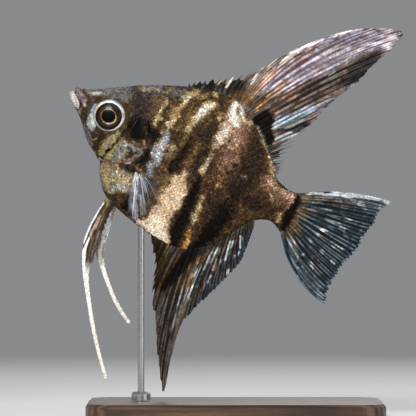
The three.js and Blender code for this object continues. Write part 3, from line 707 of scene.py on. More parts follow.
def body_colours(points):
    """Markings of the skin and its scales: colour, and how metallic it shines."""
    ragged = 0.55
    calm = lerp(0.25, 1, smoothstep(14, 27, points[..., 0]))
    at = points[..., 0] + ragged * calm * (noise(points, 1.7, 11) + 0.6 * noise(points, 0.7, 13))
    height = points[..., 2] + ragged * calm * (noise(points, 1.7, 12) + 0.6 * noise(points, 0.7, 14))
    grain = np.sqrt(calm) * (1.1 * noise(points, 0.45, 18) + 0.7 * noise(points, 1.1, 19))
    colour = paint(at, height, "brown", BODY_MARKS, TONES, grain, BODY_HALO)
    bright = colour.mean(-1)
    # Pale tan specks over the middle and darker tones: partly gold flecks of the skin, partly painted glints
    # of light off the scale rims.
    specks_and_glints = smoothstep(0.15, 0.7, noise(points, 0.6, 20)) * smoothstep(0.012, 0.05, bright)
    specks_and_glints = 0.22 * specks_and_glints * (1 - smoothstep(0.15, 0.4, bright)) * smoothstep(5, 12, points[..., 0])
    colour = blend(colour, srgb(158, 134, 98), specks_and_glints)
    fleck = lerp(0.75, 0.6, smoothstep(16, 28, points[..., 0])) * lerp(1, 0.5, smoothstep(0.25, 0.6, bright))
    patchy = np.exp(0.22 * noise(points, 1.5, 15) + fleck * noise(points, 0.36, 16))
    hue = 0.12 * noise(points, 0.6, 17)
    colour = colour * np.stack([patchy * (1 + hue), patchy, patchy * (1 - 1.3 * hue)], -1)
    colour = colour * lerp(0.84, 1, smoothstep(14, 28, points[..., 0]))[..., None]
    return with_fourth(colour, 0.22 * smoothstep(0.08, 0.6, bright))


# ---------------------------------------------------------------- materials


class Shader:
    """A material's node tree, with short ways to add and join nodes."""

    def __init__(self, name):
        self.material = bpy.data.materials.new(name)
        self.material.use_nodes = True
        self.tree = self.material.node_tree
        self.surface = self.tree.nodes["Principled BSDF"]

    def node(self, kind, inputs=None, **settings):
        node = self.tree.nodes.new("ShaderNode" + kind)
        for key, value in settings.items():
            setattr(node, key, value)
        self.feed(node, inputs or {})
        return node

    def feed(self, node, inputs):
        for key, value in inputs.items():
            socket = node.inputs[key]
            if isinstance(value, bpy.types.NodeSocket):
                self.tree.links.new(value, socket)
            else:
                socket.default_value = value

    def set(self, **inputs):
        self.feed(self.surface, {key.replace("_", " "): value for key, value in inputs.items()})

    def place_mm(self):
        """The place on the object, in mm."""
        here = self.node("TexCoord").outputs["Object"]
        return self.node("VectorMath", {0: here, 1: (1000, 1000, 1000)}, operation="MULTIPLY").outputs[0]

    def noise(self, where, scale, detail=2, roughness=0.5):
        inputs = {"Vector": where, "Scale": scale, "Detail": detail, "Roughness": roughness}
        return self.node("TexNoise", inputs).outputs["Fac"]

    def remap(self, value, low, high, new_low, new_high):
        inputs = {"Value": value, "From Min": low, "From Max": high, "To Min": new_low, "To Max": new_high}
        return self.node("MapRange", inputs).outputs[0]

    def math(self, operation, first, second):
        return self.node("Math", {0: first, 1: second}, operation=operation).outputs[0]

    def stretched(self, where, scale):
        """Places scaled by axis, for a texture drawn out along one of them."""
        return self.node("Mapping", {"Vector": where, "Scale": scale}).outputs[0]

    def scaled(self, colour, factor):
        """A colour made brighter or darker by a factor."""
        return self.node("VectorMath", {0: colour, "Scale": factor}, operation="SCALE").outputs[0]

    def mix(self, share, first, second):
        mixer = self.node("Mix", data_type="RGBA")
        self.feed(mixer, {0: share, 6: first, 7: second})
        return mixer.outputs[2]

    def bump(self, height, depth_mm):
        return self.node("Bump", {"Height": height, "Distance": depth_mm * MM, "Strength": 1}).outputs[0]


def living_material(name, mottle, pores, roughness, coat, bump_mm=0, specular=0.03, fourth="Metallic"):
    """Living tissue: stored markings with fine mottling, pores and an uneven wet gloss.

    mottle is the scale and detail of a noise and how far it lightens and darkens; pores is the scale
    and detail of the noise behind the gloss and the bumps; coat is a weight and a roughness; fourth
    names the input that takes the stored fourth value.
    """
    shader = Shader(name)
    where = shader.place_mm()
    stored = shader.node("Attribute", attribute_name="marking")
    scale, detail, depth = mottle
    patchy = shader.remap(shader.noise(where, scale, detail), 0.3, 0.7, 1 - depth, 1 + depth)
    fine = shader.noise(where, *pores)
    shader.set(
        Base_Color=shader.scaled(stored.outputs["Color"], patchy),
        Roughness=shader.remap(fine, 0.3, 0.7, *roughness),
        Specular_IOR_Level=specular,
        Coat_Weight=coat[0],
        Coat_Roughness=coat[1],
    )
    shader.set(**{fourth: stored.outputs["Alpha"]})
    if bump_mm:
        shader.set(Normal=shader.bump(fine, bump_mm))
    return shader.material


def wood_material():
    """Oiled walnut: grain running along the base, with darker growth bands and small pores."""
    shader = Shader("walnut")
    where = shader.place_mm()
    along = shader.stretched(where, (0.035, 0.5, 0.5))
    flow = shader.noise(along, 1, 4, 0.6)
    band = shader.node("TexWave", {
        "Vector": along, "Scale": 0.35, "Distortion": 5, "Detail": 3, "Detail Scale": 1.2,
    }, bands_direction="Y").outputs["Fac"]
    pores = shader.noise(shader.stretched(where, (0.25, 6, 6)), 1, 3, 0.7)
    share = shader.math("ADD", shader.math("MULTIPLY", flow, 0.6), shader.math("MULTIPLY", band, 0.4))
    share = shader.remap(share, 0.3, 0.75, 0, 1)
    base = shader.mix(share, (0.035, 0.016, 0.008, 1), (0.16, 0.078, 0.036, 1))
    dark = shader.remap(pores, 0.38, 0.5, 0.5, 1.05)
    shader.set(
        Base_Color=shader.scaled(base, dark),
        Roughness=shader.remap(pores, 0.3, 0.7, 0.48, 0.32),
        Coat_Weight=0.25,
        Coat_Roughness=0.22,
        Normal=shader.bump(pores, 0.05),
    )
    return shader.material


def steel_material():
    """Brushed stainless steel: fine lines round the rod."""
    shader = Shader("brushed_steel")
    where = shader.place_mm()
    brushed = shader.noise(shader.stretched(where, (1, 1, 24)), 1, 3, 0.7)
    shader.set(
        Base_Color=shader.mix(brushed, (0.42, 0.43, 0.44, 1), (0.62, 0.63, 0.64, 1)),
        Metallic=1,
        Roughness=shader.remap(brushed, 0.3, 0.7, 0.2, 0.36),
        Normal=shader.bump(brushed, 0.01),
    )
    return shader.material


# ---------------------------------------------------------------- skin


def tube_rings(points, radius):
    """Round rings along a smooth curve through points, closed off by small end rings."""
    sides, steps = 24, 60
    share = np.linspace(0, 1, steps)
    centre = smooth_curve(points)(share)
    tangent = unit(np.gradient(centre, axis=0))
    across = unit(np.cross(tangent, (0.2, 0.1, 1)))
    other = np.cross(tangent, across)
    turn = full_turn(sides)
    size = radius(share)
    ends = np.minimum(np.minimum(share, 1 - share) * steps / 3, 1)
    size = size * np.sqrt(np.clip(ends * (2 - ends), 0.02, 1))
    spoke = np.cos(turn)[None, :, None] * across[:, None] + np.sin(turn)[None, :, None] * other[:, None]
    return centre[:, None] + size[:, None, None] * spoke


def lip_rings(lip):
    """Rings of a lip from one corner of the mouth to the other."""
    right = [point[:3] for point in lip]
    left = [(at, -side, height) for at, side, height in right[-2::-1]]
    radius = through([(0.5 * i / (len(lip) - 1), point[3] - 0.02) for i, point in enumerate(lip)])
    return tube_rings(right + left, lambda share: radius(np.where(share < 0.5, share, 1 - share)))


VOXEL = 0.19
BODY_RINGS, BODY_SIDES = 200, 180

# Round the eyeball the skin sinks this far behind its surface, out to these distances from its axis.
SOCKET_DEPTH, SOCKET_FLOOR, SOCKET_BRIM = 0.35, 4.12, 4.45


def raw_skin():
    """Body and lips as one closed skin of even quads: points, normals and faces, level and in mm."""
    share = np.linspace(0, 1, BODY_RINGS) ** 1.12
    stations = lerp(SNOUT_END, TAIL_END, share)[:, None]
    turns = full_turn(BODY_SIDES)[None, :]
    bodies = [closed_tube(section(stations, turns, COAT_DEPTH * smoothstep(6, 13, stations)))]
    bodies += [closed_tube(lip_rings(lip)) for lip in (UPPER_LIP, LOWER_LIP)]
    points, faces, start = [], [], 0
    for body_points, body_faces in bodies:
        points.append(body_points)
        faces += [group + start for group in outward(body_points, body_faces)]
        start += len(body_points)
    rough = new_object("rough_skin", new_mesh("rough_skin", np.vstack(points), faces))
    remesh = rough.modifiers.new("remesh", "REMESH")
    remesh.mode = "VOXEL"
    remesh.voxel_size = VOXEL
    smooth = rough.modifiers.new("smooth", "SMOOTH")
    smooth.factor = 0.5
    smooth.iterations = 3
    even = rough.evaluated_get(bpy.context.evaluated_depsgraph_get()).to_mesh()
    result = read_points(even), read_points(even, "normal")
    corners = np.empty(len(even.loops), np.int32)
    even.loops.foreach_get("vertex_index", corners)
    rough.to_mesh_clear()
    bpy.data.objects.remove(rough)
    return result + (corners.reshape(-1, 4),)


def make_skin():
    """The skin: body and lips with their relief, sunk behind each eyeball."""
    points, normals, faces = raw_skin()
    points = points + normals * relief(points)[:, None]
    radius, along = from_eye_axis(points)
    floor = eye_depth(np.minimum(radius, EYE_RIM)) - SOCKET_DEPTH
    sunk = np.minimum(along, lerp(floor, along, smoothstep(SOCKET_FLOOR, SOCKET_BRIM, radius)))
    near_eye = (radius < SOCKET_BRIM) & (along > 2)
    push = np.where(near_eye, sunk - along, 0)
    points[:, 1] += np.sign(points[:, 1]) * push
    material = living_material("fish_skin", (2.6, 3, 0.4), (9.1, 2), (0.38, 0.58), (0.04, 0.12), 0.015)
    flesh = ("head", "gill_cover_left", "gill_cover_right", "trunk", "tail", "lip_upper", "lip_lower")
    add_piece("skin", points, [faces], body_colours(points), material, flesh)


# ---------------------------------------------------------------- scales

ROW_PITCH = through([(8, 0.66), (15, 0.78), (25, 1), (50, 1), (62, 0.86), (71, 0.72)])
COLUMN_SHARE = 0.58
FIRST_COLUMN, LAST_COLUMN = 9.0, TAIL_END - 1.6
# How much more a scale's shades tell in green and blue than in red: the brightened centre turns a bluish
# white, a painted sheen, and the darker rim a warm amber.
SHEEN = np.array([1, 1.2, 1.45])
# The bake picture of the scales: mm across its half width and its height, and a scale's size in it.
PICTURE_LENGTH, PICTURE_HEIGHT, SPECK = 75, 60, 0.002


def scale_roots():
    """Places of the scales on one side, in staggered rows: station, girth and pitch."""
    places = []
    at, column = FIRST_COLUMN, 0
    while at < LAST_COLUMN:
        pitch = float(ROW_PITCH(at))
        up, down = flank.limits(at)
        rows = np.arange(-int(down / pitch) - 1, int(up / pitch) + 2) + 0.5 * (column % 2)
        girth = rows * pitch
        girth = girth[(girth < up - 0.2 * pitch) & (girth > -down + 0.2 * pitch)]
        places.append(np.stack([np.full(len(girth), at), girth, np.full(len(girth), pitch)], -1))
        at += COLUMN_SHARE * pitch
        column += 1
    return np.vstack(places)


def scale_rise(points):
    """How far scales stand out at a place, as a share: none on the snout, eye ring or grooves."""
    at, _, height = np.moveaxis(points, -1, 0)
    edge = distance_to(at, height, GILL_LINE)
    groove = distance_to(at, height, GROOVE_LINE)
    ring, _ = from_eye_axis(points)
    on_head = smoothstep(0.3, -0.3, edge)
    rise = lerp(1, 0.42, on_head)
    rise = rise * smoothstep(5.1, 5.9, ring) * (1 - on_head * bell(groove, 0.5))
    rise = rise * lerp(1, smoothstep(10.5, 14.5, at + 0.35 * height), on_head)
    free = 1 - smoothstep(*GILL_FREE, height)
    return rise * (1 - free * np.exp(-((np.abs(edge) / 0.45) ** 4)))


def plate():
    """One scale: rows of (backward, across, height, shade) in pitches, and its triangles."""
    inner, rim = 7, 14
    # The fourth value of a row shades the scale: its centre and inner ring painted brighter, a painted
    # sheen, and its rear rim darker by its own pigment.
    rows = [(0.05, 0, 0.07, 1.18)]
    for turn in full_turn(inner):
        back, across = 0.05 + 0.36 * math.cos(turn), 0.3 * math.sin(turn)
        rows.append((back, across, 0.06 + 0.05 * math.cos(turn) - 0.015 * abs(math.sin(turn)), 1.06))
    for turn in full_turn(rim):
        back, across = 0.05 + 0.72 * math.cos(turn), 0.6 * math.sin(turn)
        height = 0.03 + 0.06 * math.cos(turn)
        rows.append((back, across, height, 0.62 if math.cos(turn) > 0.2 else 0.85))
    under = len(rows)
    # The point beneath the plate is darkest: painted shade under the scale's free edge.
    rows.append((0.0, 0, -0.16, 0.5))
    first = 1 + inner
    faces = []
    for i in range(inner):
        j = (i + 1) % inner
        a, b, c = first + 2 * i, first + 1 + 2 * i, first + (2 * i + 2) % rim
        faces += [(0, 1 + i, 1 + j), (1 + i, a, b), (1 + i, b, 1 + j), (1 + j, b, c)]
    faces += [(under, first + (i + 1) % rim, first + i) for i in range(rim)]
    return np.array(rows), np.array(faces)


def lay_scales(random, side, rows):
    """The scales of one side, uneven in size and turn: their points, then where each stands on the
    skin, how far it stands out, its station and its girth."""
    at, girth, pitch = scale_roots().T
    ground = flank.point(at, girth)
    rise = scale_rise(ground)
    at, girth, pitch, ground, rise = (values[rise > 0.12] for values in (at, girth, pitch, ground, rise))
    at = at + 0.05 * random.standard_normal(len(at))
    girth = girth + 0.05 * random.standard_normal(len(at))
    size = pitch * random.uniform(0.92, 1.1, len(at))
    turn = 0.12 * random.standard_normal(len(at))[:, None]
    back, across = rows[:, 0] * size[:, None], rows[:, 1] * size[:, None]
    corner_at = at[:, None] + back * np.cos(turn) - across * np.sin(turn)
    corner_girth = girth[:, None] + back * np.sin(turn) + across * np.cos(turn)
    points = flank.point(corner_at, corner_girth)
    lift = rows[:, 2] * (size * rise * random.uniform(0.8, 1.25, len(at)))[:, None]
    lift = lift - COAT_DEPTH + relief(points)
    points = points + flank.normal(at, girth)[:, None, :] * lift[..., None]
    points[..., 1] *= side
    ground[:, 1] *= side
    return points, ground, rise, at, girth


def scale_colours(random, points, ground, rise, shades):
    """Each scale in a tone of its own, darker at its rim and brighter at its centre with a painted sheen,
    less so where it lies flat or is pale.
    """
    own = body_colours(ground)[:, None]
    colours = lerp(own, body_colours(points), 0.5)
    hue = 0.06 * random.standard_normal((len(ground), 1)) * [1, 0, -1.2]
    tint = np.exp(0.24 * random.standard_normal((len(ground), 1)) + hue)
    shade = shades[:, None] ** SHEEN * tint[:, None, :]
    contrast = lerp(0.4, 1, smoothstep(0.3, 0.9, rise))[:, None, None]
    contrast = contrast * lerp(1, 0.55, smoothstep(0.25, 0.6, own[..., :3].mean(-1, keepdims=True)))
    return with_fourth(colours[..., :3] * shade**contrast, colours[..., 3])


def scale_patches(at, girth, side, rows):
    """Where the scales lie in their bake picture: each side takes half of it, each scale a speck."""
    across_picture = 0.02 + 0.46 * at / PICTURE_LENGTH + (0.5 if side > 0 else 0)
    up_picture = 0.5 + girth / PICTURE_HEIGHT
    return np.stack([across_picture, up_picture], -1)[:, None] + rows[:, :2] * SPECK


def make_scales():
    """Overlapping plates over each side, each side a piece of its own."""
    rows, triangles = plate()
    material = living_material("fish_scales", (2.2, 3, 0.65), (7.7, 2), (0.42, 0.62), (0.03, 0.15), 0.01)
    for side, word, seed in ((-1, "left", 21), (1, "right", 22)):
        random = np.random.default_rng(seed)
        points, ground, rise, at, girth = lay_scales(random, side, rows)
        colours = scale_colours(random, points, ground, rise, rows[:, 3])
        faces = (triangles + (np.arange(len(at)) * len(rows))[:, None, None]).reshape(-1, 3)
        faces = faces[:, ::-1] if side > 0 else faces
        piece = add_piece(f"scales_{word}", points, [faces], colours, material)
        piece.data.set_sharp_from_angle(angle=math.radians(60))
        patches = scale_patches(at, girth, side, rows).reshape(-1, 2)[faces.ravel()]
        layer = piece.data.uv_layers.new(name="OFBake")
        layer.data.foreach_set("uv", patches.astype(np.float32).ravel())


# ---------------------------------------------------------------- fins

# Fin colours come in pairs: membrane, ray.
FIN_TONES = {
    "dorsal": ((52, 42, 37), (138, 120, 112)), "lilac": ((84, 72, 78), (212, 196, 208)),
    "brown_rear": ((36, 30, 27), (118, 101, 92)), "blue_white": ((42, 48, 54), (172, 188, 206)),
    "dark_gap": ((17, 18, 19), (52, 55, 58)), "pale": ((60, 62, 60), (186, 190, 184)),
    "soot": ((20, 19, 18), (54, 51, 48)), "black": ((8, 6, 5), (24, 18, 13)),
    "gold_streak": ((96, 68, 36), (198, 152, 84)), "brass": ((50, 38, 22), (102, 76, 40)),
    "white_edge": ((216, 206, 198), (238, 232, 226)), "brown_line": ((44, 34, 30), (84, 68, 62)),
    "flesh_ray": ((84, 62, 48), (208, 166, 130)), "white_ray": ((56, 52, 50), (226, 206, 186)),
    "anal": ((32, 27, 23), (84, 72, 62)), "dark_gold": ((27, 21, 12), (50, 39, 21)),
    "slate_edge": ((20, 21, 23), (58, 60, 64)), "grey_brown": ((32, 28, 26), (84, 77, 73)),
    "teal_white": ((40, 44, 42), (146, 154, 146)), "caudal": ((23, 32, 36), (92, 104, 111)),
    "tail_root": ((66, 58, 44), (112, 102, 82)), "spot": ((54, 64, 68), (204, 212, 214)),
    "milk": ((84, 82, 82), (176, 172, 170)), "steel_edge": ((56, 68, 80), (134, 148, 162)),
    "teal_dark": ((12, 20, 24), (52, 62, 70)), "veil": ((88, 97, 103), (140, 150, 158)),
    "veil_mid": ((152, 160, 168), (194, 200, 208)), "veil_edge": ((214, 208, 218), (240, 236, 240)),
    "caudal_brown": ((34, 28, 26), (112, 92, 82)), "ice_edge": ((176, 178, 182), (228, 230, 234)),
    "violet": ((60, 57, 72), (156, 156, 180)), "lilac_light": ((118, 102, 110), (240, 226, 234)),
    "dash": ((80, 88, 90), (188, 198, 202)), "dash_pink": ((90, 76, 74), (176, 152, 150)),
    "mauve_ray": ((66, 50, 48), (162, 136, 130)),
}

# Strokes in the sooty tone that run along the roots of the dorsal and anal fins, where these meet the body,
# are painted shade; elsewhere in the fins the same tone is their own dark colour.
DORSAL_MARKS = strokes("""
lilac 2.5 1: 47.4 27 2, 50.4 32 3.6, 54 37.5 6.2, 63 46.5 4.6, 70 53 3
lilac_light 1.8 1: 52.6 31.4 1.4, 56 37.6 2.6, 61 43 2.2, 66.4 48.4 1.2, 70.6 53.4 1
mauve_ray 1 .9: 46.6 29.6 .8, 49.8 35.8 1.3, 53.4 41.2 .7
violet 1.6 .7: 56 45 .8, 60.4 47.6 1.2, 65.6 51.2 1
brown_line 1.6 .3: 58.4 41 .8, 61 43.6 1
brown_rear 1.4 1: 52.2 23 1, 56.8 29.2 2.8, 62.4 35.6 3.2, 66.6 41.2 3.8, 69.4 46.4 2.5
soot 1.2 1: 63.6 36 1.2, 65.8 38.6 2, 67.6 42 2.7, 69.4 45.8 1.9; 27 17 1.4, 33 20 2.2, 39.5 23 2.6
soot 1 .5: 60 33.6 .9, 62.8 35.4 1
brown_rear 1.2 .5: 49.6 36.8 .5, 52 40.4 .5, 57 43.6 .4
brown_line 1 .35: 51 32 .5, 57 38.6 .6, 62 42 .6
blue_white 1.6 1: 53.4 18.4 1, 57 22.4 1.8, 60.2 26 .5
blue_white 1.1 .45: 60.4 26 .6, 63.6 31 .8
brown_line .7 .8: 55.4 22.6 .2, 59.6 28.4 .3
dark_gap .5 .7: 56 19.6 .2, 60 24 .3
brown_rear .9 .7: 54.4 22.2 .5, 57.4 27 .8
pale .6 .7: 66.2 35.2 .3, 67.2 36.8 .35
white_edge .3 .6: 60 36.8 .15, 61 38.2 .2
white_edge .3 .5: 62.4 41 .15, 63 42.2 .15
pale .9 .8: 52.6 16.6 .8, 56 18.4 .6, 58.5 22.5 .8
dark_gap .6 .9: 54.6 16.8 .5, 57.8 19 .5, 60.6 21.6 .8
pale .7 .8: 53.4 15 .5, 56 15.6 .7, 59.2 18 .7
soot 1 .95: 54 12.6 .8, 57 10.8 1.5, 60 9 1.6
brass 1.1 .9: 39.6 20.6 1.2, 43.6 20.8 2, 46.4 21.4 1.6
black .8 1: 48.2 17 1.7, 50 18 2.6, 51.8 15.4 1.6, 54 13.2 .9
brown_line .7 .7: 44.4 20 .5, 45.8 22.2 .6, 49.2 24 .8
gold_streak .3 .6: 51 20.8 .2, 52 22.8 .25
gold_streak .3 1: 46.4 19 .3, 47.2 21.2 .4, 48.3 24.6 .3
flesh_ray .7 .8: 48 23.6 .5, 49.6 27.4 .5, 50.8 30 .4
flesh_ray 1 .45: 51 22.6 .6, 53 26.6 .8, 55 30.4 .6
white_ray .3 .9: 36.3 21.4 .4, 37.4 24.6 .4
white_ray .35 .6: 34 20.6 .3, 34.8 22.6 .3
white_ray .4 .6: 42.2 25.4 .25, 43.2 31 .3
flesh_ray 1.2 .35: 44 24 1, 45.2 28 1, 46.4 31 .8
brown_line .8 .5: 43.6 26 .3, 45.4 31 .3
brass 1 .7: 42.4 23.4 1, 44 24.6 .8
white_ray .4 .6: 44.3 30.6 .2, 45.3 34.4 .3
white_edge .35 1: 46.6 33.6 .25, 50.6 40.8 .35, 55 46.2 .35, 60 50.3 .35
white_edge .3 .6: 60 50.4 .2, 66 53.7 .25, 71 56.1 .3
flesh_ray .5 .6: 44.4 22 .3, 45.4 27 .4, 46.8 32 .3
lilac .5 .8: 70.6 56 1.4, 72 55 .8
brown_line .3 .75: 49.6 36.6 .25, 53.4 42.4 .3, 57.8 47.4 .3
""")
ANAL_MARKS = strokes("""
dark_gold 1.5 1: 39.5 -25 1.4, 42 -29 2, 44 -34 1.8
grey_brown 2 1: 47.5 -40 2.2, 51 -47 2.5, 55 -54.5 2.4, 58 -59.5 1.2
flesh_ray 1.4 .35: 50.4 -27 .8, 51 -33 .8
slate_edge .8 .8: 43.2 -37.6 .6, 45.6 -40.6 .6, 48.6 -46.4 .5
brass 1.2 .6: 51 -23.4 .7, 49.8 -28 1, 49.4 -33 .8
teal_white 1.4 .6: 54.2 -19.6 .8, 53.4 -25 .9, 52.8 -31 .8
teal_white .6 .4: 52.6 -33 .3, 53 -38.6 .3
grey_brown 1 .5: 53.6 -34 .5, 53.8 -40 .5
milk .5 .45: 51.6 -28.4 .2, 52 -35 .25, 52.6 -44 .5
slate_edge .9 1: 60.4 -11 1, 60.2 -15 1.3, 59.6 -21 1.8, 57.6 -29 1.7, 55.4 -37 1.2
soot .7 .9: 58.2 -10 .8, 58.4 -12.6 .7
soot .5 .8: 55.4 -20.5 .4, 55.6 -25.4 .5, 54.8 -30 .4
soot .9 1: 49.4 -22 1.4, 51.4 -19.4 1.1, 53.4 -16.8 .6, 55.4 -14 .4
dash .5 .8: 58.4 -13.2 .25, 59.3 -15.4 .25; 56.7 -15.4 .25, 57 -17.6 .35, 57.2 -20.2 .35
dash .5 .6: 56.3 -20.8 .2, 56.5 -21.6 .2
dash .5 .7: 59.3 -17 .2, 59.4 -17.8 .2
dash .5 .8: 58.7 -18.4 .3, 58.9 -19.2 .3; 59.2 -22.8 .3, 59.5 -23.5 .2; 55.5 -26.2 .25, 55.5 -27.8 .25
dash .6 .75: 54.6 -18 .25, 53.9 -20.6 .35; 53.4 -22.4 .35, 53.8 -25.6 .3
dash_pink .5 .9: 55.1 -21.6 .4, 55.8 -24.4 .4
dash_pink .4 .8: 55 -28.6 .25, 55.4 -29.6 .25
dash .5 .5: 57 -28 .2, 57.1 -29 .2; 50 -32.2 .2, 50.8 -36 .25, 51.6 -41 .2
gold_streak .4 .6: 50.7 -23 .15, 51.2 -25.2 .2
brass .5 .7: 52.7 -20.2 .2, 52.7 -21.4 .2
dash .5 .6: 51.4 -25.8 .15, 52 -28.2 .25
gold_streak .35 .7: 51.2 -28 .15, 52 -30 .25
dash .5 .75: 52.5 -31 .2, 53.2 -34.4 .3
black 1 1: 48.4 -21 1.5, 46.8 -28 1.7, 46 -34.5 1.1
brass .8 .6: 45.1 -23 .3, 45.2 -27 .4, 44.6 -34 .3
brass .8 .5: 42 -25 .3, 43.3 -28 .3, 43.8 -34 .4
teal_white .5 .5: 43.2 -36.6 .3, 43.8 -38 .4
""")
CAUDAL_MARKS = strokes("""
tail_root 2.4 1: 69.2 4.4 1, 69.8 0 1.1, 69.6 -6.6 1.1
tail_root 1 .5: 70 4 1.2, 73 4.6 .7; 70 -4 1.2, 72.6 -4.6 .7
tail_root 1 .4: 70 1 1, 73.4 1.4 .4
caudal_brown 1.6 .7: 71.6 5.4 .8, 77 7 1.2, 82.6 9 1
caudal_brown 1.4 .5: 72.4 -6.4 .6, 78 -9.6 .8, 82 -12.4 .8
caudal_brown 1.2 .4: 76 -2.4 .5, 80.6 -3.4 .5
brown_line .7 .7: 71 4.9 .7, 74 6.4 .7
grey_brown .8 .4: 75 5 .8, 82 9 .7, 86.6 11 .5
milk 1 .45: 72 6 .4, 76 7.6 .8, 81 9.9 .6
milk .6 .4: 72 2.2 .4, 77 3.9 .4
milk .5 .8: 71.6 3.9 .35, 73.6 4.7 .3
milk .5 .6: 77 1.2 .3, 80.6 1.8 .35; 80.4 -3.5 .35, 84.6 -3.5 .3
ice_edge .4 1: 68.6 5.1 .2, 75 8.4 .5, 81 11 .8, 86 12.6 .9, 90.4 13.5 .7
milk .6 .9: 70.9 -8.2 .8, 72.4 -10 .9, 74.2 -11.6 .9
spot .5 .9: 71.2 -8.6 .5, 72 -10 .5; 73.6 -11.6 .6; 77 -1.7 .4, 77.7 -1.2 .6, 78.5 -1 .4
milk .5 .6: 74.6 -13 .4, 80 -15.4 .5, 85.4 -17.6 .6
steel_edge .6 .8: 71.6 -10.8 .4, 77.6 -15.2 .6, 85.6 -19 .5
steel_edge 1.6 .3: 78 -12.4 1, 84.4 -16.4 1.2
teal_dark 1.4 .5: 79 -7.4 .7, 82.4 -8.8 1
teal_dark 1.2 .4: 84.4 3.4 .8, 87 5.4 .8
teal_dark .8 .7: 88.8 6 .7, 87.6 -2.6 .8, 86 -11 .7
spot .6 1: 83.2 9.2 .7, 84.8 8.5 .5; 81.6 1 .4, 82.8 .7 .7, 83.6 0 .5
spot .4 .8: 85.4 6.4 .4, 86.2 7 .3; 80.8 4.5 .4, 82.4 4.4 .4; 83 -8.2 .4, 83.8 -8.4 .3
spot .4 .8: 78.4 -11.2 .4, 79.2 -12 .3
spot .4 .7: 80.2 1.9 .3, 80.8 1.6 .2; 84 -3.4 .3, 84.8 -3.8 .2; 81.6 -4.2 .3, 82.2 -4.6 .2
spot .4 .7: 79.4 -6.5 .3, 80 -6.9 .2; 75.2 -5.3 .3, 75.8 -5.6 .2; 75.8 -7.9 .3, 76.4 -8.3 .2
spot .4 .7: 80.8 -13.8 .3, 81.4 -14.2 .2; 75.2 -9.9 .5, 74.4 -10.4 .3
spot .4 .6: 86.8 2.4 .3; 76.8 -3.5 .3; 79.6 -9.4 .3; 85.2 -10.6 .3; 77.4 8.3 .4, 78.6 7.6 .2
spot .4 .9: 76.2 -13.6 .5, 77.4 -14.3 .5
spot .4 .5: 84.8 -14.6 .3; 88.4 10.8 .3; 75.4 .6 .3
""")
PECTORAL_MARKS = strokes("""
veil_edge .9 1: 25.4 -10.2 .7, 26.7 -14 .5, 29 -18 .7, 30.4 -20.6 .6
veil_mid 1.6 1: 27 -10.4 .6, 29 -14 1, 31 -18 1
veil_mid .6 .8: 25.8 -12 .4, 26.8 -17 .5, 28.2 -20.6 .4
""")


def fan_of(rays):
    """A fin's points in its own plane, by a share across the fan and a share along its rays."""
    table = np.array(rays, float)
    bases, tips = smooth_curve(table[:, :2]), smooth_curve(table[:, 2:4])
    bows = through([(i / (len(rays) - 1), ray[4]) for i, ray in enumerate(rays)])

    def point_at(fan, along):
        base, tip = bases(fan), tips(fan)
        chord = tip - base
        aside = unit(np.stack([-chord[..., 1], chord[..., 0]], -1))
        return base + chord * along[..., None] + aside * (4 * bows(fan) * along * (1 - along))[..., None]

    return point_at


# How far a branch stands from the middle of its ray, as a share of the space between rays.
FORK = 0.22


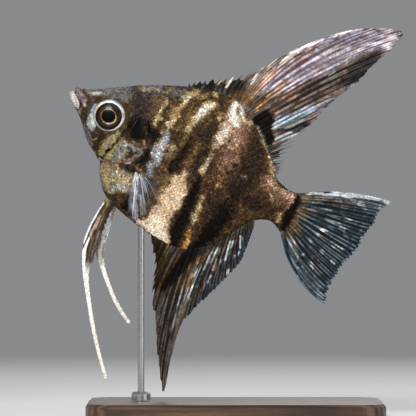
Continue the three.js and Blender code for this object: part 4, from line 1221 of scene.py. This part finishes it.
class Fin:
    """A fan of rays with a membrane, as one closed sheet with a ray's relief on both sides.

    counts is the number of rays from each key ray to the next, spines how many of the first rays are
    stiff, rows the number of points along a ray, notch how deeply the edge is cut by ray number, sway
    how far the tips lean aside and root the thickness at the base. Rays fork at the share first_branch,
    and those from hair_from on end as free hairs.
    """

    # Columns of points from one ray to the next.
    PER_RAY = 12

    def __init__(self, rays, counts, spines, rows, notch, sway, ray_width, root, first_branch=0.4,
                 ragged=0.02, hair_from=99):
        self.rays, self.rows, self.spines = rays, rows, spines
        self.total = sum(counts)
        keys = np.linspace(0, 1, len(rays))
        self.fan_at = through(list(zip(np.concatenate([[0], np.cumsum(counts)]), keys)))
        self.notch, self.sway, self.ray_width, self.root = through(notch), sway, ray_width, root
        self.first_branch, self.ragged, self.hair_from = first_branch, ragged, hair_from

    def lay_out(self, seed):
        """Grid of the sheet: ray number, share along the ray, place, nearness to a ray, length of the
        ray and whether it is soft."""
        ray = np.linspace(0, self.total, self.total * self.PER_RAY + 1)[:, None]
        share = np.linspace(0, 1, self.rows + 1)[None, :]
        ray, share = np.broadcast_arrays(ray, share)
        fan = self.fan_at(np.clip(ray + 0.3 * noise_over(1, seed + 11, ray / 1.7), 0, self.total))
        point_at = fan_of(self.rays)
        chord = point_at(fan, np.ones_like(fan)) - point_at(fan, np.zeros_like(fan))
        length = np.linalg.norm(chord, axis=-1)
        soft = smoothstep(self.spines - 0.5, self.spines + 0.5, ray)
        off = np.abs(ray - np.round(ray))
        end = self.edge(ray, off, soft, seed)
        along = lerp(-1 / length, end, share)
        flat = point_at(fan, along)
        across = np.gradient(flat, axis=0) * self.PER_RAY
        run = unit(np.gradient(flat, axis=1))
        spacing = np.abs(across[..., 0] * run[..., 1] - across[..., 1] * run[..., 0])
        first = FORK * soft * smoothstep(self.first_branch, self.first_branch + 0.4, along)
        second = 0.06 * soft * smoothstep(0.62, 1, along)
        gap = np.abs(np.abs(off - first) - second) * spacing
        width = self.ray_width * lerp(1.25, 0.62, np.clip(along, 0, 1)) * lerp(1.3, 1, soft)
        return ray, along, flat, bell(gap, width), length, soft

    def edge(self, ray, off, soft, seed):
        """Where the sheet ends along each ray: notched between rays and a little ragged."""
        hair = smoothstep(self.hair_from, self.hair_from + 3, ray)
        tips = np.abs(off - FORK * soft * (1 - hair))
        uneven = 1 + 0.5 * noise_over(1, seed + 12, np.round(2 * ray) * 1.9)
        tooth = 1 - np.clip(tips / lerp(0.5, 0.36, soft), 0, 1)
        end = 1 - self.notch(ray) * uneven * (1 - tooth ** lerp(lerp(2.2, 1.2, soft), 4, hair))
        jag = noise_over(1, seed, ray * 1.3, 0) + 0.6 * noise_over(0.35, seed + 1, ray * 1.3, 0)
        return np.minimum(end + self.ragged * jag, 1)

    def build(self, marks, base_tone, seed, out=None, thin=0.17, rise=0.15, ripple=0.12):
        """Rings of points, faces and colours of the fin.

        out gives the sheet's distance to the side; without it the fin sways from the median plane. thin
        is the membrane's thickness at the edge and rise how much a ray adds to it.
        """
        sheet = self.lay_out(seed)
        ray, along, flat, near, length, soft = sheet
        far = np.clip(along, 0, 1)
        middle = self.sway * far**2 if out is None else out(flat)
        middle = middle + ripple * np.sqrt(far) * noise_over(1.4, seed + 2, ray * 0.9, far * 3)
        membrane = thin + (self.root - thin) * np.exp(-np.clip(along * length, 0, None) / 2.2)
        thickness = membrane + rise * near * lerp(1, 0.45, far) * lerp(1.25, 1, soft)
        thickness = thickness * lerp(1, 0.6, smoothstep(0.93, 1, far))
        left, right = (
            np.stack([flat[..., 0], middle + sign * thickness / 2, flat[..., 1]], -1) for sign in (-1, 1)
        )
        rings = np.concatenate([left, right[:, ::-1]], 1)
        colour = self.colours(sheet, marks, base_tone, seed)
        return rings, self.skin_over(rings), np.concatenate([colour, colour[:, ::-1]], 1)

    def skin_over(self, rings):
        """Faces round the sheet, with a strip of quads over its first and last ring."""
        count, around = rings.shape[:2]
        step = np.arange(around // 2 - 1)
        first = np.stack([step + 1, step, around - 1 - step, around - 2 - step], -1)
        last = first[:, ::-1] + (count - 1) * around
        return outward(rings.reshape(-1, 3), [wall_faces(count, around), first, last])

    def colours(self, sheet, marks, base_tone, seed):
        """Colours over the sheet: membrane and rays are painted alike, each in its own tones."""
        ray, along, flat, near, length, _ = sheet
        at = flat[..., 0] + 0.4 * noise(flat, 1.6, seed + 3)
        height = flat[..., 1] + 0.4 * noise(flat, 1.6, seed + 4)
        branch = np.round(2 * ray)
        from_base = along * length
        streak = noise_over(1, seed + 5, branch * 5.3, from_base / 2.4)
        flecks = noise_over(1, seed + 10, branch * 3.7 + 0.5, from_base / 0.8)
        blotch = noise_over(1, seed + 7, (ray + 0.5) * 0.9, from_base / 2.2)
        own = noise_over(1, seed + 9, 1.7 * branch + 0.4)
        grain = 1.3 * streak + 0.8 * noise(flat, 0.6, seed + 8)
        membrane, rib = paint_pairs(at, height, base_tone, marks, FIN_TONES, grain)
        membrane = membrane * np.exp(0.3 * blotch + 0.25 * noise(flat, 0.35, seed + 13))[..., None]
        rib = rib * np.exp(0.35 * streak + 0.25 * flecks + 0.3 * own)[..., None]
        rib = rib * (1 + 0.12 * noise(flat, 1.5, seed + 14)[..., None] * [1, 0, -1])
        uneven = lerp(0.35, 1.15, smoothstep(-0.8, 0.5, streak + 0.5 * own + 0.4 * flecks))
        return blend(membrane, rib, np.clip(near * uneven, 0, 1))


DORSAL = Fin(
    DORSAL_RAYS, counts=(3, 3, 3, 3, 2, 2, 3, 3, 2, 2, 2, 2, 2, 4, 6), spines=12, rows=84,
    notch=[(0, 0.5), (6, 0.38), (11, 0.24), (14, 0.05), (28, 0.06), (31, 0.3), (34, 0.8), (42, 0.88)],
    sway=1.4, ray_width=0.29, root=1.05, hair_from=30, ragged=0.014,
)
ANAL = Fin(
    ANAL_RAYS, counts=(2, 3, 2, 2, 2, 3, 3, 2, 2, 2, 2, 3, 3), spines=6, rows=84,
    notch=[(0, 0.4), (4, 0.2), (8, 0.05), (22, 0.06), (31, 0.1)], sway=-1, ray_width=0.18, root=1.05,
)
CAUDAL = Fin(
    CAUDAL_RAYS, counts=(3, 3, 3, 3, 3, 3), spines=0, rows=72,
    notch=[(0, 0.02), (1.5, 0.045), (16, 0.045), (18, 0.02)], sway=1.8, ray_width=0.17, root=1,
    first_branch=0.25,
)
PECTORAL = Fin(
    PECTORAL_RAYS, counts=(3, 4, 4, 3), spines=1, rows=40, notch=[(0, 0.02), (14, 0.06)], sway=0,
    ray_width=0.13, root=0.5,
)


def make_median_fins():
    """The dorsal, anal and tail fins, on the fish's median plane."""
    material = living_material("fin_rays", (2, 3, 0.4), (7, 2), (0.4, 0.58), (0.03, 0.2), 0.015)
    for name, fin, marks, tone, seed, rise in (
        ("fin_dorsal", DORSAL, DORSAL_MARKS, "dorsal", 41, 0.15),
        ("fin_anal", ANAL, ANAL_MARKS, "anal", 51, 0.13),
        ("fin_caudal", CAUDAL, CAUDAL_MARKS, "caudal", 61, 0.1),
    ):
        rings, faces, colour = fin.build(marks, tone, seed, rise=rise)
        add_piece(f"{name}_rays", rings, faces, with_fourth(colour, 0.06), material, [name])


def make_pectorals():
    """A pair of thin fins: clear between the rays, so the flank shows through them."""
    material = living_material(
        "fin_veil", (4, 2, 0.12), (4, 2), (0.35, 0.5), (0.04, 0.15), 0.012, specular=0.05, fourth="Alpha",
    )
    front_at, front_height = PECTORAL_RAYS[0][:2]
    along = np.linspace(0, 1, PECTORAL.rows + 1)
    fade = lerp(1.6, 0.3, smoothstep(0, 0.9, np.concatenate([along, along[::-1]])))
    for side, word, seed in ((-1, "left", 71), (1, "right", 76)):
        def out(flat, side=side):
            down = PECTORAL_DOWNWARD * np.clip(front_height - flat[..., 1], 0, None)
            return side * (PECTORAL_START + down + PECTORAL_BACKWARD * (flat[..., 0] - front_at))

        rings, faces, colour = PECTORAL.build(
            PECTORAL_MARKS, "veil", seed, out, thin=0.1, rise=0.2, ripple=0.2,
        )
        opacity = np.clip(0.75 * colour.mean(-1) ** 1.2 * fade, 0.04, 0.75)
        name = f"fin_pectoral_{word}"
        add_piece(f"{name}_veil", rings, faces, with_fourth(colour, opacity), material, [name])


# Pelvic fins, painted like the others: the web's tone between rays, and on them.
PELVIC_TONES = {
    "web": ((46, 36, 27), (90, 72, 56)), "web_pale": ((150, 138, 108), (206, 196, 164)),
    "spine": ((244, 242, 240), (252, 250, 250)), "ray_gold": ((118, 92, 52), (186, 150, 92)),
    "smoke": ((66, 56, 54), (132, 116, 112)), "root": ((112, 106, 66), (150, 142, 92)),
    "shade": ((34, 28, 23), (52, 43, 35)), "flesh": ((196, 168, 150), (232, 214, 200)),
}
PELVIC_LEFT_MARKS = strokes("""
smoke 1.2 .8: 24.4 -29 .8, 24.8 -33.4 1, 25.4 -38 1
flesh .5 .6: 21.8 -25 .25, 21.8 -31 .3
ray_gold .3 .6: 21.8 -21 .2, 22.2 -27 .1, 22.6 -31.4 .15, 23.4 -34.6 .15
flesh .3 .15: 22.6 -24 .1, 23.2 -30 .12, 24 -34.6 .12
shade .7 .9: 23.4 -20.6 .5, 23.3 -24 .4
smoke .3 .8: 23.6 -30 .12, 24 -35 .12
root .5 1: 21.6 -20.2 .4, 22.1 -21.4 .3
spine .3 1: 20.9 -21.4 .2, 20.6 -25 .35, 20.5 -29 .4, 20.8 -33.6 .4
spine .3 1: 21.7 -31.6 .2, 22 -35 .4, 23.4 -38.4 .4, 25.2 -41.6 .5
""")
PELVIC_RIGHT_MARKS = strokes("""
spine .5 1: 23.4 -22.6 .5, 24.9 -27.2 1, 25 -29.6 .6, 25.6 -32.4 .4, 27 -36 .5
spine .4 1: 25.2 -26 .3, 26.2 -30 .3, 27.2 -33 .3
""")

# Rays across a pelvic fin's blade, from its front edge at -1 to its rear edge at 1.
PELVIC_RAY_PLACES = (-0.42, -0.1, 0.2, 0.5, 0.8)


def make_pelvics():
    """A pair of pelvic fins, each a narrow blade that runs out into a long feeler."""
    material = living_material("feeler_rays", (1.6, 3, 0.4), (5.6, 2), (0.32, 0.5), (0.08, 0.2), 0.012)
    for side, word, points, seed, web_end, marks, base in (
        (-1, "left", PELVIC_LEFT, 81, 0.42, PELVIC_LEFT_MARKS, "web"),
        (1, "right", PELVIC_RIGHT, 91, 0.5, PELVIC_RIGHT_MARKS, "web_pale"),
    ):
        rings, colour = pelvic_blade(feeler_line(points, side), seed, web_end, marks, base)
        vertices, faces = closed_tube(rings)
        tips = np.stack([colour[0].mean(0), colour[-1].mean(0)])
        markings = with_fourth(np.vstack([colour.reshape(-1, 3), tips]), 0.05)
        name = f"fin_pelvic_{word}"
        add_piece(f"{name}_blade", vertices, outward(vertices, faces), markings, material, [name])


def feeler_line(points, side):
    """A pelvic fin's middle line: share of its length, centre, tangent and half width at each step."""
    last = len(points) - 1
    centres = [
        (at, side * (PELVIC_ROOT_SIDE + PELVIC_SPREAD * (i / last) ** 1.3), height)
        for i, (at, height, _) in enumerate(points)
    ]
    fine = smooth_curve(centres)(np.linspace(0, 1, 40 * last + 1))
    lengths = np.concatenate([[0], np.cumsum(np.linalg.norm(np.diff(fine, axis=0), axis=1))])
    width = through([(lengths[40 * i] / lengths[-1], point[2]) for i, point in enumerate(points)])
    share = np.linspace(-0.012, 1, 320)
    steps = np.interp(np.clip(share, 0, 1), lengths / lengths[-1], np.linspace(0, 1, len(fine)))
    centre = smooth_curve(centres)(steps)
    tangent = unit(np.gradient(centre, axis=0))
    centre = centre + tangent * (np.clip(share, None, 0) * lengths[-1])[:, None]
    half = width(np.clip(share, 0, 1)) / 2
    return share, centre, tangent, half * np.sqrt(np.clip((1.004 - share) * 60, 0.05, 1))


def pelvic_blade(line, seed, web_end, marks, base):
    """Rings and colours of a pelvic fin: a stout spine, a web of rays behind it, then the feeler."""
    share, centre, tangent, half = line
    share, half = share[:, None], half[:, None]
    backward = unit(np.cross(tangent, (0, 1, 0)))
    outwards = np.cross(backward, tangent)
    turn = full_turn(72)
    across = np.sign(np.cos(turn)) * np.abs(np.cos(turn)) ** 0.8
    web = smoothstep(web_end + 0.03, web_end - 0.08, share)
    spine = bell((across + 0.82) * half, 0.36) * smoothstep(0.32, 0.28, share)
    gaps = np.min([np.abs(across - ray) for ray in PELVIC_RAY_PLACES], axis=0)
    rays = bell(gaps * half, 0.15)
    flat_half = 0.12 + 0.14 * rays + 0.3 * spine
    round_half = np.minimum(0.42, 0.7 * half + 0.1) * np.abs(np.sin(turn)) ** 0.3
    thick = lerp(round_half, flat_half, web) * np.abs(np.sin(turn)) ** 0.5 * np.sign(np.sin(turn))
    ragged = 1 - 0.1 * web * (across > 0.75) * (1 + noise_over(1, seed, share * 60, 0))
    rings = centre[:, None] + backward[:, None] * (half * across * ragged)[..., None]
    rings = rings + outwards[:, None] * thick[..., None]
    streaks = noise_over(1, seed + 1, across * 5, share * 26)
    painted = paint_pairs(rings[..., 0], rings[..., 2], base, marks, PELVIC_TONES, streaks)
    colour = blend(*painted, np.clip(rays * (0.8 + 0.5 * streaks) + spine, 0, 1))
    feeler = blend(srgb(250, 248, 246), srgb(246, 238, 226), smoothstep(0.3, 0.9, share))
    return rings, blend(feeler, colour, web) * (1 + 0.1 * streaks)[..., None]


# ---------------------------------------------------------------- eyes


def eye_colours(across, upward):
    """Rings of the eye by place about its axis: pupil, gold ring, brown iris and silver ring, with painted
    light: a glint below the pupil, a bluish reflection on top of the iris and a brighter rear side of the
    ring.
    """
    pupil = np.hypot((across - 0.16) / 1.1, upward + 0.3)
    rim = np.hypot(across - 0.14, upward + 0.3)
    radius = np.hypot(across, upward)
    angle = np.arctan2(upward, across)
    wisps = noise_over(0.5, 101, np.cos(angle) * 3, np.sin(angle) * 3, radius * 2.2)
    arcs = noise_over(0.8, 102, radius * 6, 0.7 * np.sin(angle), 0.7 * np.cos(angle))
    fine = noise_over(0.3, 103, across, upward, radius)
    low_rear = smoothstep(0.2, 0.95, (across - upward) / np.maximum(radius, 0.1) / 1.42)
    iris = blend(srgb(14, 10, 8), srgb(60, 43, 29), np.clip(0.4 + 0.8 * arcs, 0, 1))
    iris = blend(iris, srgb(16, 12, 10), 0.85 * smoothstep(2.8, 3.3, rim))
    # The top of the iris turns blue-grey: a painted reflection.
    iris = blend(iris, srgb(52, 60, 70), 0.6 * smoothstep(2, 2.7, upward + 0.5 * wisps))
    pale = np.clip(0.5 + 0.8 * wisps + 0.5 * fine, 0, 1)
    silver = blend(srgb(150, 154, 156), srgb(236, 234, 228), pale)
    inner = bell(rim - 3.66, 0.12) * lerp(0.5, 1, np.abs(np.cos(angle + 0.4)))
    silver = blend(silver, srgb(170, 104, 56), np.clip(inner * (0.9 + wisps), 0, 1))
    silver = blend(silver, srgb(130, 142, 146), 0.6 * smoothstep(-3, -3.9, upward + 0.3 * wisps))
    # The ring's own white, painted brighter towards its rear side: painted light that makes up for the shade
    # that side gets.
    silver = blend(silver, srgb(252, 248, 242), 0.8 * smoothstep(3, 3.9, across - 0.4 * upward))
    silver = blend(silver, srgb(84, 70, 48), 0.9 * smoothstep(4.26, 4.42, radius + 0.08 * wisps))
    silver = blend(silver, srgb(120, 96, 60), 0.5 * bell(radius - 4.3, 0.08))
    colour = blend(iris, silver, smoothstep(3.54, 3.7, rim + 0.05 * wisps))
    ring = bell(pupil - 1.9, lerp(0.07, 0.17, low_rear))
    gold = blend(srgb(178, 108, 56), srgb(226, 196, 150), np.clip(low_rear + 0.7 * wisps, 0, 1))
    colour = blend(colour, gold, np.clip(1.1 * ring * (0.85 + 0.5 * wisps), 0, 1))
    colour = blend(colour, srgb(150, 104, 60), 0.7 * bell(pupil - 2.2, 0.05) * low_rear)
    # A painted glint: two small bluish-white spots below the pupil, a reflection painted into the eye's
    # colour.
    painted_glint = bell(np.hypot(across - 0.86, upward + 2.02), 0.26)
    painted_glint = painted_glint + bell(np.hypot(across - 1.28, upward + 1.62), 0.16)
    colour = blend(colour, srgb(206, 218, 232), np.clip(1.3 * painted_glint, 0, 1))
    colour = blend(srgb(3, 3, 4), colour, smoothstep(1.74, 1.81, pupil))
    shine = np.where(pupil < 1.75, 0, np.clip(smoothstep(3.4, 3.7, rim) + ring, 0, 1))
    return with_fourth(colour, EYE_METAL * shine, EYE_DARKEST)


def eye_rings():
    """Distances from the eye's axis, backward and upward, and along it from the median plane."""
    radius, depth = smooth_curve(EYE_PROFILE)(np.linspace(0, 1, 96)).T
    radius = np.maximum(radius, 0.002)
    front = np.arange(len(radius)) < np.argmax(radius)
    depth = depth - np.where(front, 0.07 * bell(radius - 3.5, 0.12) - 0.09 * bell(radius - 4, 0.26), 0)
    turn = full_turn(128)
    return radius[:, None] * np.cos(turn), radius[:, None] * np.sin(turn), depth[:, None]


def make_eyes():
    """Two bright eyeballs: stored rings of colour under a clear wet layer."""
    material = living_material("fish_eye", (5, 3, 0.1), (5, 3), (0.3, 0.45), (0.14, 0.02), specular=0.05)
    across, upward, deep = eye_rings()
    markings = eye_colours(across, upward).reshape(-1, 4)
    markings = np.vstack([markings, markings[0], markings[-1]])
    at = EYE_AT + across * math.cos(EYE_FORWARD) - deep * math.sin(EYE_FORWARD)
    out = deep * math.cos(EYE_FORWARD) + across * math.sin(EYE_FORWARD)
    for side, word in ((-1, "left"), (1, "right")):
        points, faces = closed_tube(np.stack([at, side * out, EYE_HEIGHT + upward], -1))
        faces = outward(points, faces)
        add_piece(f"eyeball_{word}", points, faces, markings, material, [f"eye_{word}"])


# ---------------------------------------------------------------- stand and stage


def finish_stand():
    """Walnut and brushed steel on the stand's CAD bodies."""
    wood, steel = wood_material(), steel_material()
    for name, material in (("stand_base", wood), ("stand_rod", steel), ("stand_collar", steel)):
        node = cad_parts[name]
        node.data.materials.clear()
        node.data.materials.append(material)


FLOOR_RADIUS = 0.6


def make_floor():
    """A pale round floor that fades into the backdrop away from the stand."""
    turn = full_turn(96)
    rim = FLOOR_RADIUS * np.stack([np.cos(turn), np.sin(turn), 0 * turn], -1)
    shader = Shader("floor")
    here = shader.node("TexCoord").outputs["Object"]
    distance = shader.node("VectorMath", {0: here}, operation="LENGTH").outputs["Value"]
    grain = shader.noise(shader.place_mm(), 0.4, 3)
    shader.set(
        Base_Color=shader.mix(grain, (0.66, 0.66, 0.65, 1), (0.72, 0.72, 0.71, 1)),
        Roughness=0.7,
        Alpha=shader.remap(distance, 0.12, 0.55, 1, 0),
    )
    mesh = new_mesh("floor", rim, [np.arange(len(rim))[None, :]])
    mesh.materials.append(shader.material)
    floor = new_object("floor", mesh)


def add_light(name, where, size, power, target):
    """A round soft light aimed at a target, in metres and watts."""
    lamp = bpy.data.lights.new(name, "AREA")
    lamp.shape = "DISK"
    lamp.size = size
    lamp.energy = power
    light = new_object(name, lamp)
    light.location = where
    light.rotation_euler = (target - Vector(where)).to_track_quat("-Z", "Y").to_euler()


# The camera: metres across its view, mm of lens and sensor, and mm from the fish's origin to its aim.
VIEW_WIDTH = 0.11232
LENS, SENSOR = 400, 36
AIM_AT, AIM_HEIGHT = 37.4, -29.97


def make_stage():
    """Side-on camera, soft lights and a plain backdrop tone."""
    aim = Vector((ORIGIN_X + AIM_AT, 0, ORIGIN_Z + AIM_HEIGHT)) * MM
    camera = bpy.data.cameras.new("camera")
    camera.lens, camera.sensor_width = LENS, SENSOR
    camera.clip_start, camera.clip_end = 0.01, 10
    viewer = new_object("camera", camera)
    viewer.location = aim - Vector((0, VIEW_WIDTH * LENS / SENSOR, 0))
    viewer.rotation_euler = (math.pi / 2, 0, 0)
    bpy.context.scene.camera = viewer
    middle = aim + Vector((0, 0, 0.01))
    add_light("key", (-0.2, -0.5, 0.4), 0.2, 3.5, middle)
    add_light("fill", (0.5, -0.45, 0.15), 0.5, 0.75, middle)
    add_light("back", (0.1, 0.5, 0.45), 0.4, 2, middle)
    world = bpy.data.worlds.new("studio")
    world.use_nodes = True
    world.node_tree.nodes["Background"].inputs["Color"].default_value = (0.25, 0.255, 0.26, 1)
    bpy.context.scene.world = world
    bpy.context.scene.view_settings.view_transform = "Standard"


# ---------------------------------------------------------------- everything

make_stage()
make_floor()
make_skin()
make_scales()
make_median_fins()
make_pectorals()
make_pelvics()
make_eyes()
finish_stand()

bpy.context.view_layer.update()
